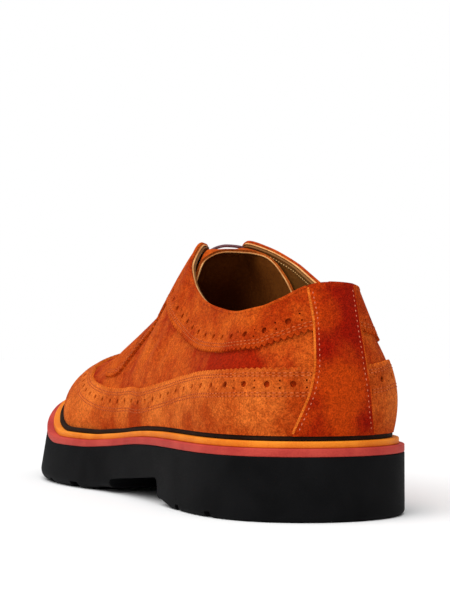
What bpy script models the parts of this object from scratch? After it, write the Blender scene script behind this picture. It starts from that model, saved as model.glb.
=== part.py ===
"""A long-wing derby brogue for the left foot, standing empty on its layered sole.

Millimetres in the tables, metres in the scene. A station runs from the back of the
heel (0) to the tip of the toe, +X points to the toe, +Y to the wearer's left, which
is the outer side of this shoe, and +Z is up.
"""
import math

import bmesh
import bpy
import numpy as np
from mathutils import Vector

MM = 0.001

# Driving sizes of this shoe, in millimetres
SOLE_LENGTH = 302.0
BALL_WIDTH = 110.5
INSTEP_HEIGHT = 110.5
HEEL_HEIGHT = 23.9

# Sizes of the sample last that the tables below are drawn for
SAMPLE_LENGTH = 302.0
SAMPLE_WIDTH = 110.5
SAMPLE_INSTEP = 110.5
SAMPLE_HEEL = 23.9

# Grading from the sample last to this shoe
LONG = SOLE_LENGTH / SAMPLE_LENGTH
WIDE = BALL_WIDTH / SAMPLE_WIDTH
TALL = INSTEP_HEIGHT / SAMPLE_INSTEP
LIFT = HEEL_HEIGHT / SAMPLE_HEEL

# Gaps and walls
GAP = 0.3
OVERLAY_GAP = 0.35
WALL = 2.0
OVERLAY = 1.2
STRIP_THICKNESS = 1.5
TONGUE_THICKNESS = 1.8

# Layers of the sole above the rubber, and how far each steps in: at the heel, at the forefoot
MIDSOLE_LOWER = 2.6
MIDSOLE_UPPER = 2.2
WELT = 1.7
INSOLE = 4.5
UPPER_STEP = (2.1, 3.3)
WELT_STEP = (4.6, 6.0)
FEATHER_STEP = (5.3, 10.5)
WELT_INNER = WALL + 0.6
INSOLE_INNER = WALL + 0.9

# Rubber outsole: side flare and rounding at the heel and forefoot
SOLE_FLARE = (0.0, 1.6)
SOLE_ROUND = (2.0, 4.5)
ROUND_STEPS = 3
STEP_CHANGE = (110.0, 200.0)

# Arch recess and lug grooves of the outsole
CUTTER_FOOT = -5.0
ARCH = (
    ("station", "height"),
    (87.0, CUTTER_FOOT),
    (87.0, 9.0),
    (90.0, 11.0),
    (142.0, 6.6),
    (144.0, 5.1),
    (144.0, CUTTER_FOOT),
)
GROOVES = (
    ("station", "width", "depth"),
    (34.0, 4.0, 2.4),
    (62.0, 4.0, 2.4),
    (178.0, 8.0, 2.8),
    (207.0, 4.0, 2.4),
    (238.0, 4.5, 2.4),
)

# Plan outline of the sole, half widths each side of the axis
OUTLINE = (
    ("station", "medial", "lateral"),
    (0.0, 0.0, 0.0),
    (3.5, 16.5, 16.5),
    (15.0, 31.5, 31.5),
    (33.0, 40.0, 40.0),
    (58.0, 42.5, 43.0),
    (92.0, 40.5, 43.5),
    (125.0, 38.5, 45.0),
    (152.0, 41.0, 48.5),
    (183.0, 47.5, 55.0),
    (207.0, 52.5, 57.5),
    (232.0, 53.0, 55.5),
    (256.0, 48.0, 48.0),
    (277.5, 38.5, 37.0),
    (291.0, 27.5, 26.0),
    (298.5, 15.5, 14.5),
    (302.0, 0.0, 0.0),
)

# Side profile of the rubber, heights above the floor
PROFILE = (
    ("station", "top", "bottom"),
    (0.0, 23.9, 0.0),
    (68.0, 23.9, 0.0),
    (87.0, 23.8, 2.3),
    (110.0, 23.2, 2.3),
    (150.0, 20.2, 2.3),
    (176.0, 18.7, 0.0),
    (207.0, 18.5, 0.0),
    (228.0, 21.0, 0.0),
    (253.0, 27.0, 3.6),
    (272.0, 31.6, 7.2),
    (302.0, 37.5, 15.5),
)

# Middle line of the last, to the outer side of the axis
CENTRE = (
    ("station", "across"),
    (0.0, -1.0),
    (60.0, -1.5),
    (110.0, -3.5),
    (150.0, -5.0),
    (200.0, -4.0),
    (232.0, -1.8),
    (302.0, 0.0),
)
HEEL_CENTRE = 42.0
TOE_CENTRE = 232.0
TOE_SLOPE = 0.19

# Sections of the last, one row each: flare and rise of the wall off the welt, its shoulder,
# and its end at the topline, the lace opening or the ridge. Heights are above the floor.
SECTION_COLUMNS = ("station", "flare", "rise", "shoulder_out", "shoulder_up", "end_out", "end_up")
LATERAL_SECTIONS = (
    SECTION_COLUMNS,
    (5.0, 4.0, 18.0, 35.0, 68.0, 28.5, 88.0),
    (12.0, 4.0, 18.0, 35.0, 65.0, 28.5, 83.6),
    (20.0, 4.0, 18.0, 34.0, 60.0, 27.5, 79.6),
    (42.0, 4.0, 18.0, 32.5, 58.0, 25.5, 77.8),
    (68.0, 3.0, 18.0, 31.0, 62.0, 26.5, 82.4),
    (84.0, 2.5, 18.0, 30.5, 67.0, 26.0, 87.0),
    (103.0, 2.0, 19.0, 29.5, 73.0, 24.0, 93.8),
    (118.0, 2.0, 19.0, 28.5, 80.0, 20.5, 99.2),
    (128.0, 2.0, 19.0, 26.5, 87.0, 17.0, 104.0),
    (138.0, 2.0, 19.0, 24.0, 95.0, 11.0, 109.0),
    (155.0, 2.0, 18.0, 24.0, 86.0, 8.0, 96.5),
    (180.0, 2.0, 17.0, 26.5, 76.5, 6.0, 81.8),
    (208.0, 2.0, 15.0, 27.5, 68.8, 0.0, 69.6),
    (232.0, 2.0, 14.0, 27.0, 63.0, 0.0, 63.0),
    (255.0, 1.5, 12.0, 29.0, 63.0, 0.0, 63.0),
    (278.0, 1.0, 11.5, 32.0, 63.0, 0.0, 63.0),
    (294.0, 1.0, 11.5, 35.0, 63.0, 0.0, 63.0),
)
MEDIAL_SECTIONS = (
    SECTION_COLUMNS,
    (5.0, 4.0, 18.0, 35.0, 68.0, 28.5, 88.0),
    (12.0, 4.5, 19.0, 34.8, 67.0, 28.2, 86.2),
    (20.0, 5.0, 20.0, 33.0, 63.5, 24.8, 82.4),
    (42.0, 4.5, 20.0, 31.0, 62.0, 20.8, 80.0),
    (68.0, 4.0, 18.0, 28.5, 67.0, 22.0, 86.0),
    (84.0, 2.5, 18.0, 28.0, 73.0, 23.0, 91.0),
    (103.0, 2.0, 19.0, 27.5, 79.0, 22.5, 97.8),
    (118.0, 2.0, 19.0, 27.0, 86.0, 19.5, 103.6),
    (128.0, 2.0, 19.0, 26.0, 91.0, 16.0, 107.2),
    (140.0, 2.0, 19.0, 25.0, 96.0, 10.0, 110.5),
    (155.0, 2.0, 18.0, 23.5, 86.5, 8.0, 96.5),
    (180.0, 2.0, 17.0, 25.5, 77.0, 6.0, 81.8),
    (208.0, 2.0, 15.0, 26.5, 68.8, 0.0, 69.6),
    (232.0, 2.0, 14.0, 26.5, 63.0, 0.0, 63.0),
    (255.0, 1.5, 12.0, 29.0, 63.0, 0.0, 63.0),
    (278.0, 1.0, 11.5, 32.0, 63.0, 0.0, 63.0),
    (294.0, 1.0, 11.5, 35.0, 63.0, 0.0, 63.0),
)

# Upper edge of the long wing, as a share of the wall's height; 1 is the ridge of the toe
WING_EDGE = (
    ("station", "share"),
    (5.0, 0.45),
    (21.5, 0.52),
    (46.5, 0.50),
    (74.0, 0.405),
    (103.0, 0.295),
    (134.0, 0.235),
    (166.0, 0.266),
    (188.0, 0.332),
    (211.0, 0.427),
    (228.0, 0.533),
    (245.0, 0.658),
    (254.0, 0.77),
    (259.0, 0.90),
    (262.0, 1.0),
    (294.0, 1.0),
)

# Lower edge of the collar band and facing, from the heel strip to the front of the lacing
QUARTER_EDGE = (
    ("station", "share"),
    (5.0, 0.71),
    (24.0, 0.709),
    (51.5, 0.678),
    (70.0, 0.618),
    (87.0, 0.598),
    (105.0, 0.608),
    (120.0, 0.613),
    (134.0, 0.60),
    (143.0, 0.575),
    (152.0, 0.53),
    (160.0, 0.45),
    (167.0, 0.385),
    (175.0, 0.37),
    (186.0, 0.392),
    (194.0, 0.415),
    (202.0, 0.45),
)
QUARTER_FRONT = 202.0

# Half widths of the strip down the back of the heel, by share of the wall's height
STRIP_EDGE = (
    ("share", "lateral", "medial"),
    (0.0, 16.5, 17.2),
    (0.15, 13.0, 14.8),
    (0.30, 9.9, 13.8),
    (0.50, 8.0, 12.8),
    (0.72, 7.8, 13.0),
    (1.0, 9.8, 14.9),
)
STRIP_RADIUS = 36.7
SEAM_GAP = 0.5
OVERLAY_FOOT = 0.02

# Tongue, from the throat to its top: the station of its top, which sweeps back at the corners,
# the lowest share of the wall it lies under, which widens over some stations, its rows up to the
# lace opening, the crown of its arch by the width of that opening, and its clearance inside the
# wall at the throat and the top
TONGUE_FRONT = 203.0
TONGUE_TOP = 141.0
TONGUE_SWEEP = 22.0
TONGUE_SHARE = (0.80, 0.68)
TONGUE_WIDENS = (165.0, 138.0)
TONGUE_ROWS = (0.0, 0.35, 0.7, 1.0)
TONGUE_CROWN = 0.16
TONGUE_GAP = (0.7, 2.2)

# Lacing: one bar across each pair of eyelets, over these shares of each facing
LACE_FIRST = 146.0
LACE_PITCH = 12.5
LACE_BARS = 5
LACE_RADIUS = 1.2
LACE_SHARES = (0.90, 0.95, 1.0)

# Numbers of faces along and up each piece
COLUMNS = 44
UPPER_ROWS = 10
TONGUE_GRID = (10, 10)
OUTLINE_SAMPLES = 600
MERGE = 0.06
SLIVER = 0.001
SHARP_ANGLE = 40.0

# Steps along and up the last that its normals are taken from, and the highest share they use
NORMAL_STEP = 0.004
NORMAL_TOP = 0.985


def smooth(xs, ys, place):
    """Value at any place on a smooth curve through points, which never overshoots them."""
    xs = np.asarray(xs, float)
    ys = np.asarray(ys, float)
    slopes = np.diff(ys) / np.diff(xs)
    tangents = np.zeros(len(xs))
    tangents[0] = slopes[0]
    tangents[-1] = slopes[-1]
    for i in range(1, len(xs) - 1):
        before = slopes[i - 1]
        after = slopes[i]
        if before * after > 0:
            wide_after = 2 * (xs[i + 1] - xs[i]) + (xs[i] - xs[i - 1])
            wide_before = (xs[i + 1] - xs[i]) + 2 * (xs[i] - xs[i - 1])
            tangents[i] = (wide_after + wide_before) / (wide_after / before + wide_before / after)
    x = np.clip(np.asarray(place, float), xs[0], xs[-1])
    i = np.clip(np.searchsorted(xs, x) - 1, 0, len(xs) - 2)
    step = xs[i + 1] - xs[i]
    t = (x - xs[i]) / step
    start = (2 * t**3 - 3 * t**2 + 1) * ys[i] + (t**3 - 2 * t**2 + t) * step * tangents[i]
    end = (3 * t**2 - 2 * t**3) * ys[i + 1] + (t**3 - t**2) * step * tangents[i + 1]
    return start + end


def column(table, name, place):
    """Value of one named column of a table, at any place along the table's first column."""
    header, *rows = table
    index = header.index(name)
    return smooth([row[0] for row in rows], [row[index] for row in rows], place)


def sole_loop():
    """Closed smooth curve through the outline table: its points and inward normals, one per side."""
    outer = [(x * LONG, lateral * WIDE) for x, _, lateral in OUTLINE[1:]]
    inner = [(x * LONG, -medial * WIDE) for x, medial, _ in OUTLINE[-2:1:-1]]
    points = np.array(outer + inner)
    count = len(points)
    ring = np.vstack([points, points[:1]])
    chord = np.linalg.norm(np.diff(ring, axis=0), axis=1)
    along = np.concatenate([[0.0], np.cumsum(chord)])
    matrix = np.zeros((count, count))
    right = np.zeros((count, 2))
    for i in range(count):
        a = chord[i - 1]
        b = chord[i]
        matrix[i, i - 1] += b
        matrix[i, i] += 2 * (a + b)
        matrix[i, (i + 1) % count] += a
        right[i] = 3 * (b * (points[i] - points[i - 1]) / a + a * (ring[i + 1] - points[i]) / b)
    speed = np.linalg.solve(matrix, right)
    speed = np.vstack([speed, speed[:1]])
    place = np.linspace(0.0, along[-1], 2 * OUTLINE_SAMPLES, endpoint=False)
    i = np.clip(np.searchsorted(along, place, side="right") - 1, 0, count - 1)
    h = (along[i + 1] - along[i])[:, None]
    t = ((place - along[i]) / h[:, 0])[:, None]
    spot = (2 * t**3 - 3 * t**2 + 1) * ring[i] + (3 * t**2 - 2 * t**3) * ring[i + 1]
    spot = spot + (t**3 - 2 * t**2 + t) * h * speed[i] + (t**3 - t**2) * h * speed[i + 1]
    run = (6 * t**2 - 6 * t) / h * (ring[i] - ring[i + 1])
    run = run + (3 * t**2 - 4 * t + 1) * speed[i] + (3 * t**2 - 2 * t) * speed[i + 1]
    run = run / np.linalg.norm(run, axis=1)[:, None]
    inward = np.stack([run[:, 1], -run[:, 0]], axis=1)
    both = np.hstack([spot, inward])
    both = np.roll(both, -int(np.argmin(spot[:, 0])), axis=0)
    toe = int(np.argmax(both[:, 0]))
    lateral = both[: toe + 1]
    medial = np.vstack([both[toe:], both[:1]])[::-1]
    return {
        "lateral": (lateral[:, :2], lateral[:, 2:]),
        "medial": (medial[:, :2], medial[:, 2:]),
    }


LOOP = sole_loop()
MIDDLE = (SOLE_LENGTH + SOLE_FLARE[1] - SOLE_FLARE[0]) / 2
SIDE_SHIFT = (LOOP["lateral"][0][:, 1].max() + LOOP["medial"][0][:, 1].min()) / 2


def heel_to_toe(pair, station):
    """A size that changes from its heel value to its forefoot value through the waist."""
    first, last = (limit * LONG for limit in STEP_CHANGE)
    share = np.clip((np.asarray(station, float) - first) / (last - first), 0.0, 1.0)
    share = share * share * (3 - 2 * share)
    return pair[0] + (pair[1] - pair[0]) * share


def edge(side, step, along):
    """Points of the sole's outline moved in by a step; along is 0 at the heel, 1 at the toe."""
    spot, inward = LOOP[side]
    moved = spot + inward * heel_to_toe(step, spot[:, 0])[:, None]
    share = (1 - np.cos(np.pi * np.asarray(along, float))) / 2
    station = moved[0, 0] + (moved[-1, 0] - moved[0, 0]) * share
    across = np.interp(station, moved[:, 0], moved[:, 1])
    return np.stack([station, across], axis=-1)


def sole_top(station):
    return column(PROFILE, "top", np.asarray(station) / LONG) * LIFT


def sole_bottom(station):
    return column(PROFILE, "bottom", np.asarray(station) / LONG)


def above_sole(layers):
    """Height above the rubber of the top of a number of layers, each with its gap below."""
    thickness = (MIDSOLE_LOWER, MIDSOLE_UPPER, WELT)
    return sum(GAP + one for one in thickness[:layers])


def centre_line(station):
    return column(CENTRE, "across", np.asarray(station) / LONG) * WIDE


def skin(side, along, share, offset=0.0):
    """Point on the last: along from heel to toe, share up the wall, offset outwards."""
    along = np.asarray(along, float)
    share = np.asarray(share, float)
    foot = edge(side, FEATHER_STEP, along)
    station = foot[..., 0]
    middle = np.clip(station, HEEL_CENTRE * LONG, TOE_CENTRE * LONG)
    origin = np.stack([middle, centre_line(middle)], axis=-1)
    reach = np.linalg.norm(foot - origin, axis=-1)
    outward = (foot - origin) / reach[..., None]
    rows = LATERAL_SECTIONS if side == "lateral" else MEDIAL_SECTIONS
    flare, rise, shoulder, shoulder_up, end, end_up = (
        column(rows, name, station / LONG) for name in SECTION_COLUMNS[1:]
    )
    shoulder_up = np.where(
        station > TOE_CENTRE * LONG, end_up - TOE_SLOPE * shoulder * outward[..., 0], shoulder_up
    )
    base = sole_top(station) + above_sole(3) + GAP
    out = bezier(share, reach, reach + flare, shoulder * WIDE, end * WIDE)
    up = bezier(share, base, base + rise, shoulder_up * TALL, end_up * TALL)
    spot = np.stack(
        [origin[..., 0] + outward[..., 0] * out, origin[..., 1] + outward[..., 1] * out, up], axis=-1
    )
    if np.any(offset):
        spot = spot + skin_normal(side, along, share) * offset
    return spot


def bezier(t, first, second, third, fourth):
    rest = 1 - t
    return rest**3 * first + 3 * t * rest**2 * second + 3 * t * t * rest * third + t**3 * fourth


def skin_normal(side, along, share):
    """Outward direction of the last's surface, from small steps along and up it."""
    near = np.clip(along, NORMAL_STEP, 1 - NORMAL_STEP)
    level = np.clip(share, NORMAL_STEP, NORMAL_TOP)
    run = skin(side, near + NORMAL_STEP, level) - skin(side, near - NORMAL_STEP, level)
    climb = skin(side, near, level + NORMAL_STEP) - skin(side, near, level - NORMAL_STEP)
    normal = np.cross(run, climb)
    if side == "lateral":
        normal = -normal
    return normal / np.linalg.norm(normal, axis=-1)[..., None]


def along_at(station):
    """The along value whose foot on the welt lies at a station of the table."""
    first = edge("lateral", FEATHER_STEP, 0.0)[0]
    last = edge("lateral", FEATHER_STEP, 1.0)[0]
    share = np.clip((station * LONG - first) / (last - first), 0.0, 1.0)
    return np.arccos(1 - 2 * share) / np.pi


def station_at(along):
    return edge("lateral", FEATHER_STEP, along)[..., 0] / LONG


def strip_along(side, share, beyond=0.0):
    """Where the heel strip's edge lies, as an along value, at each share of the wall."""
    turn = (column(STRIP_EDGE, side, share) + beyond) / STRIP_RADIUS
    first = edge("lateral", FEATHER_STEP, 0.0)[0] / LONG
    return along_at(first + STRIP_RADIUS * (1 - np.cos(turn)))


def to_world(points):
    """Millimetres from the heel to metres about the middle of the sole's box."""
    return (np.asarray(points, float) - np.array([MIDDLE, SIDE_SHIFT, 0.0])) * MM


def collection(name):
    group = bpy.data.collections.new(name)
    bpy.context.scene.collection.children.link(group)
    return group


def material(name, colour, roughness):
    finish = bpy.data.materials.new(name)
    finish.use_nodes = True
    shader = finish.node_tree.nodes["Principled BSDF"]
    shader.inputs["Base Color"].default_value = (*colour, 1.0)
    shader.inputs["Roughness"].default_value = roughness
    shader.inputs["Metallic"].default_value = 0.0
    finish.diffuse_color = (*colour, 1.0)
    return finish


def add_grid(bm, columns, rows, place):
    """Grid of faces whose corners go where place(u, v) says, u and v from 0 to 1."""
    made = bmesh.ops.create_grid(bm, x_segments=columns, y_segments=rows, size=1.0)["verts"]
    flat = np.array([vert.co[:2] for vert in made])
    spots = to_world(place((flat[:, 0] + 1) / 2, (flat[:, 1] + 1) / 2))
    for vert, spot in zip(made, spots):
        vert.co = spot


def finish_mesh(bm, name, group, finish):
    """Merge the seams and poles of a mesh and make an object of it."""
    bmesh.ops.remove_doubles(bm, verts=bm.verts, dist=MERGE * MM)
    bmesh.ops.dissolve_degenerate(bm, edges=bm.edges, dist=SLIVER * MM)
    bmesh.ops.recalc_face_normals(bm, faces=bm.faces)
    mesh = bpy.data.meshes.new(name)
    bm.to_mesh(mesh)
    bm.free()
    mesh.shade_smooth()
    mesh.set_sharp_from_angle(angle=math.radians(SHARP_ANGLE))
    body = bpy.data.objects.new(name, mesh)
    group.objects.link(body)
    if finish:
        mesh.materials.append(finish)
    return body


def thicken(body, thickness, outward, faces_out):
    """Give an open sheet its wall, to the outside or the inside of the last."""
    mesh = body.data
    sample = max(mesh.polygons, key=lambda face: abs(face.normal.dot(faces_out(face.center))) * face.area)
    if sample.normal.dot(faces_out(sample.center)) < 0:
        mesh.flip_normals()
    wall = body.modifiers.new("Wall", "SOLIDIFY")
    wall.thickness = thickness * MM
    wall.offset = 1.0 if outward else -1.0
    wall.use_even_offset = False


def sideways(centre):
    return Vector((0.0, math.copysign(1.0, centre.y), 0.0))


def backwards(centre):
    return Vector((-1.0, 0.0, 0.0))


def upwards(centre):
    return Vector((0.0, 0.0, 1.0))


def closed_loft(name, group, finish, columns, section):
    """Solid whose section is a closed polygon at each place along the sole."""
    sides = section(np.array([0.5])).shape[1]
    bm = bmesh.new()

    def place(u, v):
        corners = section(u)
        index = np.round(v * sides).astype(int) % sides
        return corners[np.arange(len(u)), index]

    add_grid(bm, columns, sides, place)
    return finish_mesh(bm, name, group, finish)


def both_sides(along, step, height):
    """Lateral and medial points of one outline at a height that follows the station."""
    points = []
    for side in ("lateral", "medial"):
        flat = edge(side, step, along)
        points.append(np.concatenate([flat, height(flat[..., 0])[..., None]], axis=-1))
    return points


def slab_section(step, low, high):
    """Section of a sole layer between two heights above the rubber."""

    def section(along):
        top_l, top_m = both_sides(along, step, lambda x: sole_top(x) + high)
        low_l, low_m = both_sides(along, step, lambda x: sole_top(x) + low)
        return np.stack([top_l, low_l, low_m, top_m], axis=1)

    return section


def outsole_section(along):
    """Rubber: a straight side that flares at the forefoot, then rounds under to the tread."""
    levels = [both_sides(along, (0.0, 0.0), sole_top)]
    for i in range(ROUND_STEPS + 1):
        turn = i / ROUND_STEPS * math.pi / 2
        inset = tuple(
            radius * (1 - math.cos(turn)) - flare for radius, flare in zip(SOLE_ROUND, SOLE_FLARE)
        )
        lift = 1 - math.sin(turn)
        levels.append(
            both_sides(
                along, inset, lambda x, lift=lift: sole_bottom(x) + lift * heel_to_toe(SOLE_ROUND, x)
            )
        )
    outer = [level[0] for level in levels]
    inner = [level[1] for level in reversed(levels)]
    return np.stack(outer + inner, axis=1)


def prism(name, group, profile):
    """Cutter right across the sole with a profile of stations and heights."""
    bm = bmesh.new()
    corners = [(x * LONG, SIDE_SHIFT - BALL_WIDTH, z) for x, z in profile]
    verts = [bm.verts.new(spot) for spot in to_world(corners)]
    face = bm.faces.new(verts)
    grown = bmesh.ops.extrude_face_region(bm, geom=[face])["geom"]
    moved = [item for item in grown if isinstance(item, bmesh.types.BMVert)]
    bmesh.ops.translate(bm, verts=moved, vec=(0.0, 2 * BALL_WIDTH * MM, 0.0))
    cutter = finish_mesh(bm, name, group, None)
    cutter.hide_render = True
    cutter.display_type = "WIRE"
    return cutter


def make_outsole(group, cutters):
    rubber = material("black_rubber", (0.012, 0.012, 0.013), 0.55)
    body = closed_loft("outsole", group, rubber, COLUMNS, outsole_section)
    tools = [prism("arch_cutter", cutters, ARCH[1:])]
    for station, width, depth in GROOVES[1:]:
        level = float(sole_bottom(station * LONG)) + depth
        slot = (
            (station - width / 2, CUTTER_FOOT),
            (station - width / 2, level),
            (station + width / 2, level),
            (station + width / 2, CUTTER_FOOT),
        )
        tools.append(prism(f"groove_cutter_{station:.0f}", cutters, slot))
    for tool in tools:
        cut = body.modifiers.new(tool.name, "BOOLEAN")
        cut.operation = "DIFFERENCE"
        cut.solver = "EXACT"
        cut.object = tool


def make_layers(group):
    """Midsoles, welt ring and insole, stacked with a small gap under each."""
    coral = material("coral_midsole", (0.51, 0.06, 0.05), 0.6)
    lower = slab_section((0.0, 0.0), GAP, above_sole(1))
    closed_loft("midsole_lower", group, coral, COLUMNS, lower)
    orange = material("orange_midsole", (0.87, 0.27, 0.02), 0.6)
    upper = slab_section(UPPER_STEP, above_sole(1) + GAP, above_sole(2))
    closed_loft("midsole_upper", group, orange, COLUMNS, upper)
    tan = material("insole_leather", (0.20, 0.09, 0.03), 0.7)
    inner = tuple(step + INSOLE_INNER for step in FEATHER_STEP)
    bed = slab_section(inner, above_sole(2) + GAP, above_sole(2) + GAP + INSOLE)
    closed_loft("insole", group, tan, COLUMNS, bed)
    dark = material("dark_welt", (0.02, 0.011, 0.008), 0.6)
    make_welt(group, dark)


def make_welt(group, finish):
    """Ring under the wall of the upper, showing as a dark ledge round it."""
    inner_step = tuple(step + WELT_INNER for step in FEATHER_STEP)
    low = above_sole(2) + GAP
    high = above_sole(3)
    corners = ((WELT_STEP, high), (WELT_STEP, low), (inner_step, low), (inner_step, high))
    bm = bmesh.new()

    def place(u, v):
        turn = u * 2
        lateral = turn <= 1
        along = np.where(lateral, turn, 2 - turn)
        index = np.round(v * len(corners)).astype(int) % len(corners)
        spots = np.zeros((len(u), 3))
        for k, (step, height) in enumerate(corners):
            pair = both_sides(along, step, lambda x, height=height: sole_top(x) + height)
            ring = np.where(lateral[:, None], pair[0], pair[1])
            spots[index == k] = ring[index == k]
        return spots

    add_grid(bm, 2 * COLUMNS, len(corners), place)
    finish_mesh(bm, "welt", group, finish)


def make_upper(group):
    """Hollow wall on the last: open at the collar, down the lacing and underneath."""
    suede = material("orange_suede", (0.52, 0.10, 0.012), 0.9)
    bm = bmesh.new()
    for side in ("lateral", "medial"):
        add_grid(bm, COLUMNS, UPPER_ROWS, lambda u, v, side=side: skin(side, u, v))
    thicken(finish_mesh(bm, "upper", group, suede), WALL, False, sideways)


def seam_along(side, share):
    """Where the side pieces start, just in front of the heel strip."""
    return strip_along(side, share, SEAM_GAP)


def make_wing(group):
    """Wing cap round the toe, with its tails run back along both sides to the heel strip."""
    suede = material("wing_suede", (0.62, 0.16, 0.02), 0.9)
    bm = bmesh.new()

    def place(side):
        def spot(u, v):
            along = np.maximum(u, seam_along(side, v))
            share = np.clip(v, OVERLAY_FOOT, column(WING_EDGE, "share", station_at(along)))
            return skin(side, along, share, OVERLAY_GAP)

        return spot

    for side in ("lateral", "medial"):
        add_grid(bm, COLUMNS, UPPER_ROWS, place(side))
    thicken(finish_mesh(bm, "wing", group, suede), OVERLAY, True, sideways)


def make_quarter(group, side):
    """Collar band and facing in one, from the heel strip to the front of the lacing."""
    suede = material(f"quarter_suede_{side}", (0.56, 0.12, 0.015), 0.9)
    bm = bmesh.new()

    def place(u, v):
        along = np.clip(u, seam_along(side, v), along_at(QUARTER_FRONT))
        share = np.maximum(v, column(QUARTER_EDGE, "share", station_at(along)))
        return skin(side, along, share, OVERLAY_GAP)

    add_grid(bm, COLUMNS, UPPER_ROWS, place)
    thicken(finish_mesh(bm, f"quarter_{side}", group, suede), OVERLAY, True, sideways)


def make_heel_strip(group):
    """Strip over the back seam, spreading to a foot on the welt."""
    suede = material("strip_suede", (0.45, 0.07, 0.008), 0.9)
    bm = bmesh.new()

    def place(side):
        def spot(u, v):
            share = np.maximum(v, OVERLAY_FOOT)
            return skin(side, np.minimum(u, strip_along(side, share)), share, OVERLAY_GAP)

        return spot

    for side in ("lateral", "medial"):
        add_grid(bm, COLUMNS, UPPER_ROWS, place(side))
    thicken(finish_mesh(bm, "heel_strip", group, suede), STRIP_THICKNESS, True, backwards)


def tongue_arch(station):
    """Points across the instep under the lacing, lateral edge to medial edge."""
    along = float(along_at(station))
    inside = -WALL - np.interp(station, (TONGUE_TOP, TONGUE_FRONT), TONGUE_GAP[::-1])
    lowest = np.interp(station, TONGUE_WIDENS[::-1], TONGUE_SHARE[::-1])
    shares = [lowest + (1 - lowest) * row for row in TONGUE_ROWS]
    near = [skin("lateral", along, share, inside) for share in shares]
    far = [skin("medial", along, share, inside) for share in shares]
    opening = np.linalg.norm(near[-1] - far[-1])
    crown = (near[-1] + far[-1]) / 2 + np.array([0.0, 0.0, TONGUE_CROWN * opening])
    return np.array(near + [crown] + far[::-1])


def make_tongue(group):
    """Sheet under the facings that bridges the lace opening."""
    lining = material("tongue_leather", (0.14, 0.06, 0.015), 0.75)
    bm = bmesh.new()

    def place(u, v):
        spots = []
        for along, across in zip(u, v):
            top = TONGUE_TOP - TONGUE_SWEEP * (2 * across - 1) ** 2
            arch = tongue_arch(top + (TONGUE_FRONT - top) * along)
            run = np.concatenate([[0.0], np.cumsum(np.linalg.norm(np.diff(arch, axis=0), axis=1))])
            spots.append([float(smooth(run, line, across * run[-1])) for line in arch.T])
        return np.array(spots)

    add_grid(bm, *TONGUE_GRID, place)
    thicken(finish_mesh(bm, "tongue", group, lining), TONGUE_THICKNESS, False, upwards)


def make_lace_bars(group):
    """Straight lacing: a round cord across each pair of eyelets, clear of the facings."""
    cord = material("lace_cord", (0.15, 0.07, 0.08), 0.7)
    lift = OVERLAY_GAP + OVERLAY + GAP + LACE_RADIUS
    for number in range(LACE_BARS):
        along = float(along_at(LACE_FIRST + number * LACE_PITCH))
        near = [skin("lateral", along, share, lift) for share in LACE_SHARES]
        far = [skin("medial", along, share, lift) for share in LACE_SHARES]
        route = to_world(near + far[::-1])
        curve = bpy.data.curves.new(f"lace_bar_{number + 1}", "CURVE")
        curve.dimensions = "3D"
        curve.bevel_depth = LACE_RADIUS * MM
        curve.bevel_resolution = 2
        curve.use_fill_caps = True
        spline = curve.splines.new("POLY")
        spline.points.add(len(route) - 1)
        for point, spot in zip(spline.points, route):
            point.co = (*spot, 1.0)
        curve.materials.append(cord)
        bar = bpy.data.objects.new(curve.name, curve)
        group.objects.link(bar)


def main():
    for old in list(bpy.data.objects):
        bpy.data.objects.remove(old, do_unlink=True)
    shoe = collection("brogue")
    cutters = collection("cutters")
    make_outsole(shoe, cutters)
    make_layers(shoe)
    make_upper(shoe)
    make_wing(shoe)
    for side in ("lateral", "medial"):
        make_quarter(shoe, side)
    make_heel_strip(shoe)
    make_tongue(shoe)
    make_lace_bars(shoe)


main()
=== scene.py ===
# %% [markdown]
# # A long-wing brogue in orange suede
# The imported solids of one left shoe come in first, as a fixed frame. Nothing in this lesson
# moves or resizes them. Each solid is made again on the same last with far more faces, and the
# new piece takes its place. Lining, folded edges and stitches are pieces of their own.

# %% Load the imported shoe
import math

import bmesh
import bpy
import numpy as np
from mathutils import Matrix, Vector
from mathutils.bvhtree import BVHTree


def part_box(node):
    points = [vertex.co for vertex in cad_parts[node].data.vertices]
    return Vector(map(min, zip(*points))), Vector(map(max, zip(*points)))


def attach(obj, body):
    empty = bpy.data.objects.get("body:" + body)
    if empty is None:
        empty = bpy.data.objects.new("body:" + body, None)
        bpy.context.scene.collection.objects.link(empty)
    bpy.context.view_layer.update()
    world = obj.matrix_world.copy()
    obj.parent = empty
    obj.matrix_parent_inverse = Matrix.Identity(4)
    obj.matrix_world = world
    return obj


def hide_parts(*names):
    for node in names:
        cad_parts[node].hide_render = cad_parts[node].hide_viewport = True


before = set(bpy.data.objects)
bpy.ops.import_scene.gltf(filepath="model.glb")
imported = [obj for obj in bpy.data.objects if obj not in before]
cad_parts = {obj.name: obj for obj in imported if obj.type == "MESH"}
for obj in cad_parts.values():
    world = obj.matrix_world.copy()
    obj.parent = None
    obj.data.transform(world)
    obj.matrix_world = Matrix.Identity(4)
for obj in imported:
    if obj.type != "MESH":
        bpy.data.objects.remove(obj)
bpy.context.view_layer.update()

MM = 0.001
SIDES = ("lateral", "medial")
print("solids in the frame:", ", ".join(sorted(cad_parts)))

# %% [markdown]
# ## The last
# A shoemaker starts from a last, a wooden foot. Here it is a handful of short tables in
# millimetres: the outline of the sole, its side profile, and sections of the wall from the
# welt up to the topline. A station is the distance from the back of the heel. Tables like
# these could be curves drawn by hand, but a function of (along, share) lets every panel,
# seam and stitch be placed on the same surface.

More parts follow.
